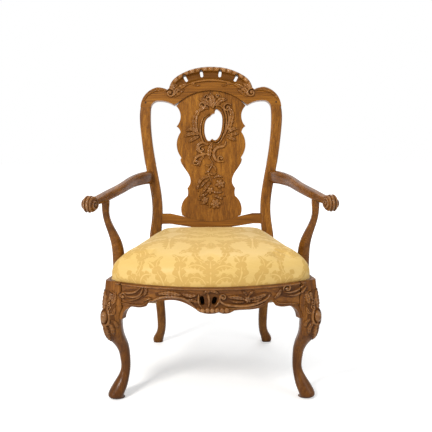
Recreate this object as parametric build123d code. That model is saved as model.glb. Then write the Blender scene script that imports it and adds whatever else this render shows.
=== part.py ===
from build123d import *
import math
import os

os.makedirs("parts", exist_ok=True)

# All sizes are millimetres. +X is the viewer's right, +Y runs to the back, +Z is up.
# While the pieces are drawn, y = 0 is the front corner of the front legs.

# Main sizes of the chair
RAIL_TOP = 390.0        # floor to the top of the seat rails
BACK_HEIGHT = 678.0     # seat rail top to crest top, measured up the raked back
BACK_RAKE = 9.0         # lean of the back, degrees
FRONT_HALF = 320.0      # centre line to the outer corner of a front leg
REAR_HALF = 230.0       # centre line to the outer face of a rear leg at the seat
SEAT_DEPTH = 470.0      # front corner of the front legs to the face of the rear legs
FRONT_BOW = 80.0        # the front rail's reach in front of the leg corners
CORNER_BACK = 14.0      # the leg corners sit this far behind y = 0

# Seat rails
RAIL_DROP = 70.0        # height of the plain part of the rails
SIDE_THICK = 30.0       # side rails
FRONT_THICK = 34.0      # front rail
REAR_THICK = 32.0       # rear rail
REAR_LEDGE = 14.0       # the rear rail stands this far in front of the rear legs
SEAT_LIP = 9.0          # rail edge left standing round the seat
REBATE = 20.0           # depth of the rebate that the seat drops into
APRON_NOTCH = 182.0     # centre line to the nicks in the front rail's lower edge
APRON_RISE = 31.0       # rise of the apron's left arch above the plain part

# Front legs
BLOCK = 54.0            # width of the leg block between its faces
BLOCK_REAR = 50.0       # y of the block's rear face
BLOCK_FLARE = 8.0       # the block widens by this towards the knee
ANKLE = 15.0            # half width of the ankle
FOOT = 25.5             # half width of the pad foot
FOOT_SWEEP = 20.0       # the pad feet stand this far behind the middle of the blocks
EAR_LONG = 40.0         # knee brackets, along the rail
EAR_TALL = 46.0         # and down the knee

# Rear legs and stiles
STILE_WIDTH = 43.0      # width at the seat
STILE_DEPTH = 42.0      # front to back at the seat
STILE_SLIM = 38.5       # width of the stile in the upper back
STILE_THIN = 30.0       # front to back at the crest
STILE_ROUND = 7.0       # eased edges
REAR_KICK = 60.0        # the rear feet stand this far behind the rear legs' face

# Crest rail, in the plane of the back
CREST_JOINT = 149.5     # crest top down to the joint with the stiles
SHOULDER_DROP = 75.6    # crest top down to the top of the shoulders
SHOULDER_HALF = 263.0   # centre line to the outside of the shoulders
GALLERY_HALF = 158.0    # half span of the pierced gallery
GALLERY_RISE = 90.0     # rise of the gallery's half ellipse
ARCH_DROP = 88.0        # crest top down to the arch over the splat
ARCH_HALF = 111.0       # half span of that arch
ARCH_RISE = 36.0        # rise of that arch
SLOT_WIDE = 11.0        # pierced slots of the gallery
SLOT_TALL = 25.0
COVE_RADIUS = 17.0      # hollow gouged along the gallery
COVE_DEEP = 9.0
COVE_INSET = 32.0       # edge of the gallery in to the middle of the hollow

# Splat and splat rail, in the plane of the back
SPLAT_FOOT = 100.0      # seat rail top up to the lowest point of the splat
SPLAT_HALF = 130.0      # half width at the top tips
SPLAT_THICK = 14.0
SPLAT_SET = 8.0         # the splat's face lies this far behind the face of the back
FOOT_RADIUS = 271.0     # curve of the splat's foot
OPENING_WIDE = 67.0     # the pierced cartouche
OPENING_TALL = 118.0
OPENING_OUT = 9.0       # its centre right of the centre line
OPENING_UP = 0.737      # its centre as a share of the splat's height
FRAME_WIDE = 9.0        # raised moulding round the cartouche
FRAME_PROUD = 5.0
SPLAT_RAIL_THICK = 24.0
SPLAT_RAIL_SET = 3.0
SPLAT_RAIL_DEEP = 32.0  # height of the splat rail at the middle

# Arms and arm supports
ARM_RISE = 266.0        # seat rail top up to the arm's root, along the back
ARM_ROOT = 232.0        # centre line to the middle of the arm's root
ARM_OUT = 367.0         # centre line to the middle of the knuckle
ARM_RUN = 452.0         # length of the arm in plan, from the stile forward
ARM_FALL = 34.0         # drop of the knuckle below the root
KNUCKLE = 23.5          # radius of the scrolled knuckle
KNUCKLE_WIDE = 35.0
SUPPORT_AHEAD = 280.0   # rear legs' face forward to the middle of the support's foot
SUPPORT_LEAN = 56.0     # the support's top is this far in front of its foot
SUPPORT_LAP = 52.0      # length of the support's lap on the side rail

# Joinery
TENON_THICK = 12.0
TENON_TALL = 36.0
TENON_LONG = 26.0
TENON_SHORT = 15.0      # rear rail, so that it stops beside the side rails' tenons
TONGUE = 8.0            # splat tongues: thickness and length
PEG_RADIUS = 3.5
SCREW_RADIUS = 2.0
SCREW_LONG = 38.0       # in the corner blocks
SUPPORT_SCREW = 50.0    # through the side rails into the arm supports
SCREW_HEAD = 4.2
BLOCK_REACH = 100.0     # corner blocks, along each rail
BLOCK_TALL = 40.0

# Lift-out seat
CROWN = 106.0           # rise of the stuffed dome
CROWN_POWER = 2.6       # fullness of the dome
SWELL = 0.07            # share by which the dome's sides bulge
SEAT_CORNER = 24.0      # corner radius of the seat in plan
FRAME_RING = 56.0       # width of the loose frame's rails
FRAME_TALL = 20.0
WEB_WIDE = 50.0
WEB_THICK = 1.4
WEB_COUNT = 4
CLOTH = 1.2             # damask and hessian
TURN_UNDER = 36.0       # cover turned under the loose frame
TACK_PITCH = 60.0

# Clearances
JOINT_GAP = 0.15        # round tenons and tongues
SHOULDER_GAP = 0.2      # at shaped shoulders
PIN_GAP = 0.1           # round pegs and screws
SEAT_GAP = 0.6          # between the seat and its rebate
LAYER_GAP = 0.3         # between the layers of the seat

# The plane of the back's front face: x across, y up the slope, z towards the sitter
RAKE = math.radians(BACK_RAKE)
BACK = Plane(
    origin=(0, SEAT_DEPTH, RAIL_TOP),
    x_dir=(1, 0, 0),
    z_dir=(0, -math.cos(RAKE), math.sin(RAKE)),
)
BLOCK_FOOT = RAIL_TOP - RAIL_DROP
LEDGE = RAIL_TOP - REBATE
TENON_LOW = BLOCK_FOOT + (RAIL_DROP - REBATE - TENON_TALL) / 2
JOINT_UP = BACK_HEIGHT - CREST_JOINT
SUPPORT_Y = SEAT_DEPTH - SUPPORT_AHEAD

# The front of the seat is one arc from leg corner to leg corner.
BOW_RISE = FRONT_BOW + CORNER_BACK
BOW_RADIUS = (FRONT_HALF**2 + BOW_RISE**2) / (2 * BOW_RISE)
BOW_CENTRE = BOW_RADIUS - FRONT_BOW
BLOCK_IN = FRONT_HALF - BLOCK

# The sides are straight lines from the leg corners to the rear legs.
SIDE_RUN = SEAT_DEPTH - CORNER_BACK
SIDE_SLOPE = (FRONT_HALF - REAR_HALF) / SIDE_RUN
SIDE_STRETCH = math.hypot(1, SIDE_SLOPE)
SEAT_MIDDLE = (SEAT_DEPTH - FRONT_BOW) / 2 + 20


def side_x(y, inset=0.0):
    """x of the right side's line at y, moved inwards square to the line."""
    return FRONT_HALF - (y - CORNER_BACK) * SIDE_SLOPE - inset * SIDE_STRETCH


def bow_y(x, inset=0.0):
    """y of the front arc at x, moved inwards."""
    return BOW_CENTRE - math.sqrt((BOW_RADIUS - inset) ** 2 - x**2)


def both_sides(right):
    """A right-hand piece and its mirror image."""
    return right, mirror(right, about=Plane.YZ)


def slab(face, low, high):
    """A plan outline as a prism between two heights."""
    return extrude(Pos(0, 0, low) * face, high - low)


def on_back(face, near, far):
    """An outline in the plane of the back, as a prism between two depths behind it."""
    return extrude(BACK * Pos(0, 0, -far) * face, far - near)


def back_box(x, up, depth, wide, tall, thick, grow=0.0):
    """A block in the frame of the back, centred at x, up and a depth behind the face."""
    block = Box(wide + 2 * grow, tall + 2 * grow, thick + 2 * grow)
    return BACK * Pos(x, up, -depth) * block


def back_pin(x, up, radius, long=120.0):
    """A pin square to the back."""
    return BACK * Pos(x, up, 0) * Cylinder(radius, long)


def seat_region(front, side, rear, share=1.0):
    """The seat's plan between the rails, each edge moved in, then scaled; the rear edge never grows."""
    low = -FRONT_BOW - 60
    high = SEAT_DEPTH - rear
    low_half = share * side_x(low, side)
    high_half = share * side_x(high, side)
    low_y = SEAT_MIDDLE + share * (low - SEAT_MIDDLE)
    high_y = SEAT_MIDDLE + min(share, 1.0) * (high - SEAT_MIDDLE)
    centre = SEAT_MIDDLE + share * (BOW_CENTRE - SEAT_MIDDLE)
    wedge = Polyline(
        (low_half, low_y), (high_half, high_y), (-high_half, high_y), (-low_half, low_y), close=True
    )
    return make_face(wedge) & (Pos(0, centre) * Circle(share * (BOW_RADIUS - front)))


def seat_plan(inset, share=1.0):
    """The rounded outline of the rebate, moved in by inset."""
    edge = SEAT_LIP + inset
    plan = seat_region(edge, edge, 1 + inset, share)
    return fillet(plan.vertices(), share * max(SEAT_CORNER - inset, 4))


def wood_screw(place, long, grow=0.0):
    """A countersunk screw whose head is at the place and whose tip points along its Z."""
    shank = Pos(0, 0, long / 2) * Cylinder(SCREW_RADIUS + grow, long + 2 * grow)
    head = Pos(0, 0, SCREW_HEAD / 2) * Cone(SCREW_HEAD + grow, SCREW_RADIUS + grow, SCREW_HEAD)
    return place * (shank + head)


def counterbore(place):
    """The wide hole that leads a screw's head into a block."""
    bore = Cylinder(SCREW_HEAD + PIN_GAP, 80, align=(Align.CENTER, Align.CENTER, Align.MAX))
    return place * bore


def tenon_prism(start, end, thick, low, tall, grow=0.0):
    """An upright tongue whose plan runs from start to end, with the end grown as well."""
    run = Vector(*end) - Vector(*start)
    mid = (Vector(*start) + Vector(*end)) * 0.5
    turn = math.degrees(math.atan2(run.Y, run.X))
    block = Box(run.length + 2 * grow, thick + 2 * grow, tall + 2 * grow)
    return Pos(mid.X, mid.Y, low + tall / 2) * Rot(0, 0, turn) * block


# Front legs: a four-sided block over a cabriole leg set on the diagonal.
# Each station below the block: share of the block's foot height, step out along the
# diagonal (equal in x and y), half width, and how square the section is.
LEG_STATIONS = [
    (0.86, 11.0, 31.0, 0.9),
    (0.716, 7.5, 28.5, 0.82),
    (0.625, -0.5, 25.5, 0.76),
    (0.553, -11.0, 21.0, 0.7),
    (0.475, -17.5, 17.5, 0.66),
    (0.375, -20.5, ANKLE + 0.5, 0.62),
    (0.28, -20.0, ANKLE, 0.62),
    (0.19, -12.0, 19.0, 0.62),
    (0.12, -1.5, FOOT - 1, 0.62),
    (0.07, 5.5, FOOT, 0.62),
    (0.0, 0.5, 18.5, 0.6),
]
LEG_X = FRONT_HALF - BLOCK / 2
LEG_Y = LEG_X - FRONT_HALF + BLOCK


def soft_quad(corners, fullness, height):
    """A level four-sided section whose corners are drawn by curves from side to side."""
    points = [Vector(x, y, height) for x, y in corners]
    edges = []
    for i, corner in enumerate(points):
        before = (points[i - 1] + corner) * 0.5
        after = (corner + points[(i + 1) % 4]) * 0.5
        first = before + (corner - before) * fullness
        second = after + (corner - after) * fullness
        edges.append(Bezier(before, first, second, after))
    return make_face(edges)


def soft_square(x, y, wide, deep, fullness, height):
    """A level soft-cornered rectangle about x and y."""
    return soft_quad(square_corners(x, y, wide, deep), fullness, height)


def even_stations(stations, count):
    """Stations redrawn at even steps, on smooth curves through the given ones."""
    rows = sorted(stations)
    last = len(rows) - 1
    result = []
    for step in range(count + 1):
        share = rows[0][0] + (rows[last][0] - rows[0][0]) * step / count
        i = max(j for j in range(last) if rows[j][0] <= share + 1e-9)
        span = rows[i + 1][0] - rows[i][0]
        t = (share - rows[i][0]) / span
        values = [share]
        for k in range(1, len(rows[0])):
            slopes = []
            for j in (i, i + 1):
                low = rows[max(j - 1, 0)]
                high = rows[min(j + 1, last)]
                slopes.append((high[k] - low[k]) / (high[0] - low[0]) * span)
            start = (2 * t**3 - 3 * t**2 + 1) * rows[i][k] + (t**3 - 2 * t**2 + t) * slopes[0]
            end = (3 * t**2 - 2 * t**3) * rows[i + 1][k] + (t**3 - t**2) * slopes[1]
            values.append(start + end)
        result.append(values)
    return result


def square_corners(x, y, wide, deep):
    """The corners of a rectangle about x and y, from the inner front one round."""
    low_x = x - wide / 2
    low_y = y - deep / 2
    high_x = x + wide / 2
    high_y = y + deep / 2
    return [(low_x, low_y), (high_x, low_y), (high_x, high_y), (low_x, high_y)]


def block_corners(flare, grow):
    """The leg block's corners; the faces against the rails stay where they are."""
    front = bow_y(BLOCK_IN) - flare - grow
    corner = (FRONT_HALF + flare + grow, CORNER_BACK - 0.7 * flare - grow)
    rear = (side_x(BLOCK_REAR) + flare + grow, BLOCK_REAR + grow)
    inner = BLOCK_IN - grow
    return [(inner, front), corner, rear, (inner, BLOCK_REAR + grow)]


def block_section(flare, height, grow):
    """The block's outline with its edges eased."""
    face = make_face(Polyline(*block_corners(flare, grow), close=True))
    return Pos(0, 0, height) * fillet(face.vertices(), 7.0)


def front_leg_body(grow=0.0):
    """The leg without its mortises."""
    top = block_section(0, RAIL_TOP, grow)
    knee = block_section(BLOCK_FLARE, BLOCK_FOOT, grow)
    sections = []
    for share, step, half, fullness in even_stations(LEG_STATIONS, 12):
        size = 2 * (half + grow)
        behind = FOOT_SWEEP * (1 - share)
        corners = square_corners(LEG_X + step, LEG_Y - step + behind, size, size)
        sections.append(soft_quad(corners, fullness, share * BLOCK_FOOT))
    above = block_corners(BLOCK_FLARE, grow)
    between = [((a + c) / 2, (b + d) / 2) for (a, b), (c, d) in zip(corners, above)]
    sections.append(soft_quad(between, 0.95, (share + 1) / 2 * BLOCK_FOOT))
    sections.append(soft_quad(above, 1.0, BLOCK_FOOT))
    return loft(sections) + loft([knee, top], ruled=True)


# Rear legs: an upright block at the seat, a kicked leg below and a raked stile above.
# Leg stations: share of height, outer face stepped out, width, kick share, depth.
REAR_STATIONS = [
    (1.0, 0.0, STILE_WIDTH, 0.0, STILE_DEPTH),
    (0.6, -13.0, 35.0, 0.13, 36.0),
    (0.33, -18.0, 33.0, 0.4, 34.0),
    (0.15, -14.0, 33.0, 0.74, 35.0),
    (0.055, 3.0, 41.0, 0.94, 42.0),
    (0.0, 0.0, 35.0, 1.0, 36.0),
]
# Stile stations: share of the way up to the crest joint, outer x from REAR_HALF, width.
STILE_STATIONS = [
    (0.12, 0.0, STILE_WIDTH - 1),
    (0.24, -8.0, STILE_SLIM),
    (0.4, -3.0, STILE_SLIM),
    (0.55, 12.0, STILE_SLIM + 1),
    (0.71, 25.5, STILE_SLIM),
    (0.86, 34.5, STILE_SLIM + 1),
    (1.0, SHOULDER_HALF - REAR_HALF, STILE_SLIM),
]
SEAT_BLOCK_TOP = RAIL_TOP + 10


def stile_section(share, step, width, grow):
    """One section of the stile, square to the slope of the back."""
    depth = STILE_DEPTH + (STILE_THIN - STILE_DEPTH) * min(1, 1.6 * share)
    middle = REAR_HALF + step - width / 2
    plane = Plane(
        origin=BACK.from_local_coords((middle, share * JOINT_UP, -depth / 2)),
        x_dir=(1, 0, 0),
        z_dir=BACK.y_dir,
    )
    return plane * RectangleRounded(width + 2 * grow, depth + 2 * grow, STILE_ROUND)


def rear_leg_body(grow=0.0):
    """The rear leg and stile without mortises or the tenon at the top."""
    middle = (REAR_HALF - STILE_WIDTH / 2, SEAT_DEPTH + STILE_DEPTH / 2)
    size = (STILE_WIDTH + 2 * grow, STILE_DEPTH + 2 * grow)
    lower = []
    for share, step, width, kick, depth in even_stations(REAR_STATIONS, 9):
        x = REAR_HALF + step - width / 2
        y = SEAT_DEPTH + kick * REAR_KICK + depth / 2
        wide = width + 2 * grow
        deep = depth + 2 * grow
        fullness = 0.8 + 0.18 * share
        lower.append(soft_square(x, y, wide, deep, fullness, share * BLOCK_FOOT))
    seat_foot = Pos(*middle, BLOCK_FOOT) * RectangleRounded(*size, STILE_ROUND)
    upper = [Pos(*middle, SEAT_BLOCK_TOP) * RectangleRounded(*size, STILE_ROUND)]
    for share, step, width in STILE_STATIONS:
        upper.append(stile_section(share, step, width, grow))
    block = extrude(seat_foot, SEAT_BLOCK_TOP - BLOCK_FOOT)
    return loft(lower) + block + loft(upper)


# Seat rails
FRONT_TENON_Y = bow_y(BLOCK_IN) + FRONT_THICK / 2 - 2
SIDE_MID = SIDE_THICK / 2


def front_tenon(side, grow=0.0):
    """The front rail's tenon in a leg block."""
    start = (side * (BLOCK_IN - 4), FRONT_TENON_Y)
    end = (side * (BLOCK_IN + TENON_LONG), FRONT_TENON_Y)
    return tenon_prism(start, end, TENON_THICK, TENON_LOW, TENON_TALL, grow)


def side_tenons(grow=0.0):
    """The right side rail's two tenons, as one bar through the rail's length."""
    near = BLOCK_REAR - TENON_LONG + 4
    far = SEAT_DEPTH + TENON_LONG
    start = (side_x(near, SIDE_MID), near)
    end = (side_x(far, SIDE_MID), far)
    return tenon_prism(start, end, TENON_THICK, TENON_LOW, TENON_TALL, grow)


def rear_tenons(grow=0.0):
    """The rear rail's two tenons, as one bar."""
    reach = REAR_HALF - STILE_WIDTH + TENON_SHORT
    y = SEAT_DEPTH + TENON_THICK / 2 + 4
    return tenon_prism((-reach, y), (reach, y), TENON_THICK, TENON_LOW, TENON_TALL, grow)


def apron_outline():
    """The front rail in elevation: x across, y measured up from the rail's top."""
    plain = -RAIL_DROP
    nick = plain + 20
    high = plain + APRON_RISE
    inner = BLOCK_IN
    left = Line((-inner, 0), (-inner, plain)) + Line((-inner, plain), (-225, plain))
    left += Spline((-225, plain), (-203, plain + 2), (-190, plain + 7))
    left += Line((-190, plain + 7), (-APRON_NOTCH, nick))
    left += Spline(
        (-APRON_NOTCH, nick), (-150, high - 6), (-106, high), (-60, high - 15), (-34, plain - 2)
    )
    pendant = ThreePointArc((-34, plain - 2), (-8, plain - 8), (24, plain - 4))
    pendant += ThreePointArc((24, plain - 4), (48, plain - 8), (68, plain))
    right = Spline((68, plain), (112, plain + 1), (148, plain + 5), (APRON_NOTCH - 4, nick + 6))
    right += Line((APRON_NOTCH - 4, nick + 6), (192, plain + 7))
    right += Spline((192, plain + 7), (205, plain + 2), (225, plain))
    right += Line((225, plain), (inner, plain)) + Line((inner, plain), (inner, 0))
    return make_face(left + pendant + right + Line((inner, 0), (-inner, 0)))


def front_rail_body():
    """The bowed rail: its plan and its elevation cut from one plank."""
    ring = Pos(0, BOW_CENTRE) * (Circle(BOW_RADIUS) - Circle(BOW_RADIUS - FRONT_THICK))
    middle = Pos(0, 0) * Rectangle(2 * BLOCK_IN, 2 * FRONT_BOW + 40)
    plank = slab(ring & middle, RAIL_TOP - 2 * RAIL_DROP, RAIL_TOP)
    front = Plane(origin=(0, 0, RAIL_TOP), x_dir=(1, 0, 0), z_dir=(0, -1, 0))
    shape = extrude(front * apron_outline(), amount=FRONT_BOW + 40, both=True)
    for x, tilt, wide, tall in [(-24, 8, 12, 28), (11, -12, 14, 25)]:
        slot = front * Pos(x, -REBATE - 18) * Rot(0, 0, tilt) * SlotOverall(tall, wide, rotation=90)
        shape -= extrude(slot, amount=FRONT_BOW + 40, both=True)
    return plank & shape


def side_rail_body(grow=0.0):
    """The right side rail between the leg block and the rear leg."""
    near = BLOCK_REAR
    far = SEAT_DEPTH
    thick = SIDE_THICK + grow
    plan = Polyline(
        (side_x(near, -grow), near),
        (side_x(far, -grow), far),
        (side_x(far, thick), far),
        (side_x(near, thick), near),
        close=True,
    )
    rail = slab(make_face(plan), BLOCK_FOOT - grow, RAIL_TOP + grow)
    hollow = Pos(0, (near + far) / 2, BLOCK_FOOT - 560 + 12) * Rot(0, 90, 0) * Cylinder(560, 1000)
    return rail if grow else rail - hollow


rebate = slab(seat_plan(0), LEDGE, RAIL_TOP + 300)

front_seat_rail = front_rail_body() - rebate + front_tenon(1) + front_tenon(-1)
side_seat_rail = side_rail_body() - rebate
side_seat_rail += side_tenons() & slab(seat_region(-9, -9, -99), 0, RAIL_TOP)

rear_y = SEAT_DEPTH - REAR_LEDGE
rear_half = REAR_HALF - STILE_WIDTH
rear_seat_rail = Pos(0, rear_y + REAR_THICK / 2, RAIL_TOP - RAIL_DROP / 2) * Box(
    2 * rear_half, REAR_THICK, RAIL_DROP
)
rear_seat_rail = rear_seat_rail - rebate + rear_tenons()

# Crest rail and its outline
ARCH_RADIUS = (ARCH_HALF**2 + ARCH_RISE**2) / (2 * ARCH_RISE)
ARCH_CENTRE = BACK_HEIGHT - ARCH_DROP - ARCH_RADIUS
GALLERY_UP = BACK_HEIGHT - GALLERY_RISE
STILE_IN = SHOULDER_HALF - STILE_SLIM


def mirrored_outline(half):
    """A closed outline from its right half, which starts and ends on the centre line."""
    return make_face(half + mirror(half, about=Plane.YZ))


def crest_outline():
    top = BACK_HEIGHT
    shoulder = (200, top - SHOULDER_DROP)
    cusp = (GALLERY_HALF + 4, top - SHOULDER_DROP - 9)
    half = Spline(
        (0, top),
        (0.45 * GALLERY_HALF, GALLERY_UP + 0.893 * GALLERY_RISE),
        (0.75 * GALLERY_HALF, GALLERY_UP + 0.66 * GALLERY_RISE),
        (0.985 * GALLERY_HALF, GALLERY_UP + 0.13 * GALLERY_RISE),
        tangents=[(1, 0), (0.25, -1)],
    )
    half += Line((0.985 * GALLERY_HALF, GALLERY_UP + 0.13 * GALLERY_RISE), cusp)
    half += ThreePointArc(cusp, (180, top - SHOULDER_DROP - 2.5), shoulder)
    half += ThreePointArc(
        shoulder, (SHOULDER_HALF - 17, top - SHOULDER_DROP - 28), (SHOULDER_HALF, JOINT_UP)
    )
    half += Line((SHOULDER_HALF, JOINT_UP), (STILE_IN, JOINT_UP))
    half += ThreePointArc((STILE_IN, JOINT_UP), (STILE_IN - 9, JOINT_UP + 17), (194, JOINT_UP + 24))
    half += ThreePointArc((194, JOINT_UP + 24), (166, JOINT_UP + 20.5), (137, JOINT_UP + 7))
    half += Line((137, JOINT_UP + 7), (ARCH_HALF, BACK_HEIGHT - ARCH_DROP - ARCH_RISE))
    half += ThreePointArc(
        (ARCH_HALF, BACK_HEIGHT - ARCH_DROP - ARCH_RISE),
        (0.5 * ARCH_HALF, ARCH_CENTRE + math.sqrt(ARCH_RADIUS**2 - (0.5 * ARCH_HALF) ** 2)),
        (0, BACK_HEIGHT - ARCH_DROP),
    )
    return mirrored_outline(half)


def ring_tongue(centre, inner, outer, half, keep_up, grow=0.0):
    """A curved tongue of the splat, between two radii and within a half width."""
    ring = Circle(outer + grow) - Circle(inner - 3)
    window = Pos(0, keep_up * outer) * Rectangle(2 * (half + grow), 2 * outer)
    face = Pos(0, centre) * (ring & window)
    near = SPLAT_SET + (SPLAT_THICK - TONGUE) / 2
    return on_back(face, near - grow, near + TONGUE + grow)


def crest_tongue(grow=0.0):
    return ring_tongue(ARCH_CENTRE, ARCH_RADIUS, ARCH_RADIUS + TONGUE, 86, 1, grow)


FOOT_CENTRE = SPLAT_FOOT + FOOT_RADIUS


def foot_tongue(grow=0.0):
    return ring_tongue(FOOT_CENTRE, FOOT_RADIUS, FOOT_RADIUS + TONGUE, 80, -1, grow)


def stile_tenon(grow=0.0):
    """The tenon on top of the right stile."""
    up = JOINT_UP + 12
    middle = SHOULDER_HALF - STILE_SLIM / 2
    return back_box(middle, up, STILE_THIN / 2, 20, 32, TENON_THICK, grow)


def gallery_point(share):
    """A point of the gallery's ellipse and the direction of its outward normal."""
    angle = math.pi / 2 - share
    x = GALLERY_HALF * math.cos(angle)
    up = GALLERY_UP + GALLERY_RISE * math.sin(angle)
    normal = Vector(GALLERY_RISE * math.cos(angle), GALLERY_HALF * math.sin(angle)).normalized()
    return Vector(x, up), normal


crest_rail = on_back(crest_outline(), 0, STILE_THIN)
for share in (-0.72, -0.24, 0.24, 0.72):
    spot, normal = gallery_point(share)
    spot = spot - normal * (0.9 * SLOT_TALL)
    turn = math.degrees(math.atan2(normal.Y, normal.X))
    slot = Pos(spot.X, spot.Y) * Rot(0, 0, turn) * SlotOverall(SLOT_TALL, SLOT_WIDE)
    crest_rail -= on_back(slot, -5, STILE_THIN + 5)
cove_line = EllipticalCenterArc(
    (0, GALLERY_UP), GALLERY_HALF - COVE_INSET, GALLERY_RISE - COVE_INSET, start_angle=10, arc_size=160
)
cove_line = BACK * Pos(0, 0, COVE_RADIUS - COVE_DEEP) * cove_line
cove = sweep(Plane(origin=cove_line @ 0, z_dir=cove_line % 0) * Circle(COVE_RADIUS), path=cove_line)
crest_rail -= cove

# Splat
SPLAT_TOP = BACK_HEIGHT - ARCH_DROP - SHOULDER_GAP
SPLAT_TALL = SPLAT_TOP - SPLAT_FOOT


def splat_outline():
    tall = SPLAT_TALL
    wide = SPLAT_HALF
    foot = SPLAT_FOOT

    def at(x, share):
        return (x * wide, foot + share * tall)

    corner_x = 0.84 * wide
    corner = (corner_x, FOOT_CENTRE - math.sqrt(FOOT_RADIUS**2 - corner_x**2))
    arch = ARCH_RADIUS - SHOULDER_GAP
    arch_end = (0.82 * wide, ARCH_CENTRE + math.sqrt(arch**2 - (0.82 * wide) ** 2))
    arch_mid = (0.42 * wide, ARCH_CENTRE + math.sqrt(arch**2 - (0.42 * wide) ** 2))
    half = ThreePointArc((0, SPLAT_TOP), arch_mid, arch_end)
    half += Line(arch_end, at(1.0, 0.886))
    half += ThreePointArc(at(1.0, 0.886), at(0.88, 0.79), at(0.99, 0.729))
    half += ThreePointArc(at(0.99, 0.729), at(0.92, 0.712), at(0.88, 0.683))
    half += ThreePointArc(at(0.88, 0.683), at(0.99, 0.6), at(0.86, 0.49))
    half += Line(at(0.86, 0.49), at(0.885, 0.473))
    half += Spline(at(0.885, 0.473), at(0.8, 0.42), at(0.66, 0.365), at(0.6, 0.31), at(0.62, 0.283))
    half += ThreePointArc(at(0.62, 0.283), at(0.66, 0.266), at(0.69, 0.254))
    half += ThreePointArc(at(0.69, 0.254), at(0.672, 0.223), at(0.685, 0.196))
    half += ThreePointArc(at(0.685, 0.196), at(0.81, 0.158), corner)
    half += ThreePointArc(
        corner,
        (0.45 * wide, FOOT_CENTRE - math.sqrt(FOOT_RADIUS**2 - (0.45 * wide) ** 2)),
        (0, SPLAT_FOOT),
    )
    return mirrored_outline(half)


def opening_outline(margin):
    """The cartouche: a leaning oval with leaf tips at its top left and its foot."""

    def at(x, up):
        middle = SPLAT_FOOT + OPENING_UP * SPLAT_TALL
        across = OPENING_OUT + x * (OPENING_WIDE / 2 + margin)
        return (across, middle + up * (OPENING_TALL / 2 + margin))

    foot_tip = at(-0.15, -0.86)
    leaf_tip = at(-0.33, 0.56)
    top_tip = at(0.15, 0.74)
    right = [at(0.36, 1.0), at(0.8, 0.8), at(1.0, 0.3), at(0.9, -0.3), at(0.6, -0.76), at(0.22, -0.96)]
    left = [at(-0.58, -1.0), at(-0.92, -0.66), at(-1.0, -0.16), at(-0.81, 0.33)]
    edge = Spline(top_tip, *right, foot_tip) + Spline(foot_tip, *left, leaf_tip)
    return make_face(edge + ThreePointArc(leaf_tip, at(-0.16, 0.68), top_tip))


opening = opening_outline(0)
surround = opening_outline(FRAME_WIDE)
splat = on_back(splat_outline(), SPLAT_SET, SPLAT_SET + SPLAT_THICK)
splat += on_back(surround, SPLAT_SET - FRAME_PROUD, SPLAT_SET + 1)
splat -= on_back(opening, -20, 60)
splat += crest_tongue() + foot_tongue()
crest_rail -= crest_tongue(JOINT_GAP)

# Splat rail
RAIL_END_UP = SPLAT_FOOT + 11


def rail_tenon(side, grow=0.0):
    """The splat rail's tenon in one stile."""
    reach = REAR_HALF - 16
    start = REAR_HALF - STILE_WIDTH - 14
    depth = SPLAT_RAIL_SET + SPLAT_RAIL_THICK / 2
    middle = side * (reach + start) / 2
    return back_box(middle, RAIL_END_UP, depth, reach - start, 24, TENON_THICK - 2, grow)


def splat_rail_outline():
    radius = FOOT_RADIUS + SHOULDER_GAP
    side = 0.76 * SPLAT_HALF
    lip = (side, FOOT_CENTRE - math.sqrt(radius**2 - side**2))
    end = REAR_HALF - 20
    half = ThreePointArc(
        (0, FOOT_CENTRE - radius),
        (0.5 * side, FOOT_CENTRE - math.sqrt(radius**2 - (0.5 * side) ** 2)),
        lip,
    )
    half += Spline(lip, (lip[0] + 28, lip[1] + 6.5), (lip[0] + 56, RAIL_END_UP + 20))
    half += Line((lip[0] + 56, RAIL_END_UP + 20), (end, RAIL_END_UP + 20))
    half += Line((end, RAIL_END_UP + 20), (end, RAIL_END_UP - 20))
    half += Line((end, RAIL_END_UP - 20), (lip[0] + 56, RAIL_END_UP - 19))
    half += ThreePointArc(
        (lip[0] + 56, RAIL_END_UP - 19),
        (0.8 * side, SPLAT_FOOT - 0.62 * SPLAT_RAIL_DEEP),
        (0, SPLAT_FOOT - SPLAT_RAIL_DEEP),
    )
    return mirrored_outline(half)


rear_cutter, rear_cutter_left = both_sides(rear_leg_body(SHOULDER_GAP))
splat_rail = on_back(splat_rail_outline(), SPLAT_RAIL_SET, SPLAT_RAIL_SET + SPLAT_RAIL_THICK)
splat_rail = splat_rail - rear_cutter - rear_cutter_left
splat_rail = splat_rail + rail_tenon(1) + rail_tenon(-1)
splat_rail -= foot_tongue(JOINT_GAP)

# Arms: stations along the path from the stile to the knuckle.
# Share of the run forward, share of the spread outwards, share of the fall, width, height.
ROOT = BACK.from_local_coords((ARM_ROOT, ARM_RISE, 0))
ARM_STATIONS = [
    (-0.02, -0.01, -0.02, 34.0, 48.0),
    (0.09, 0.09, -0.05, 34.0, 46.0),
    (0.235, 0.29, 0.03, 34.0, 41.0),
    (0.38, 0.42, 0.2, 34.0, 36.0),
    (0.535, 0.52, 0.38, 34.0, 32.0),
    (0.69, 0.65, 0.56, 35.0, 30.0),
    (0.845, 0.78, 0.72, 34.0, 27.0),
    (0.935, 0.9, 0.86, 30.0, 24.0),
    (1.0, 1.0, 0.96, 28.0, 25.0),
]


def arm_spot(forward, spread, fall):
    x = ROOT.X + spread * (ARM_OUT - ROOT.X)
    y = ROOT.Y - forward * ARM_RUN
    return Vector(x, y, ROOT.Z - fall * ARM_FALL)


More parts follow.
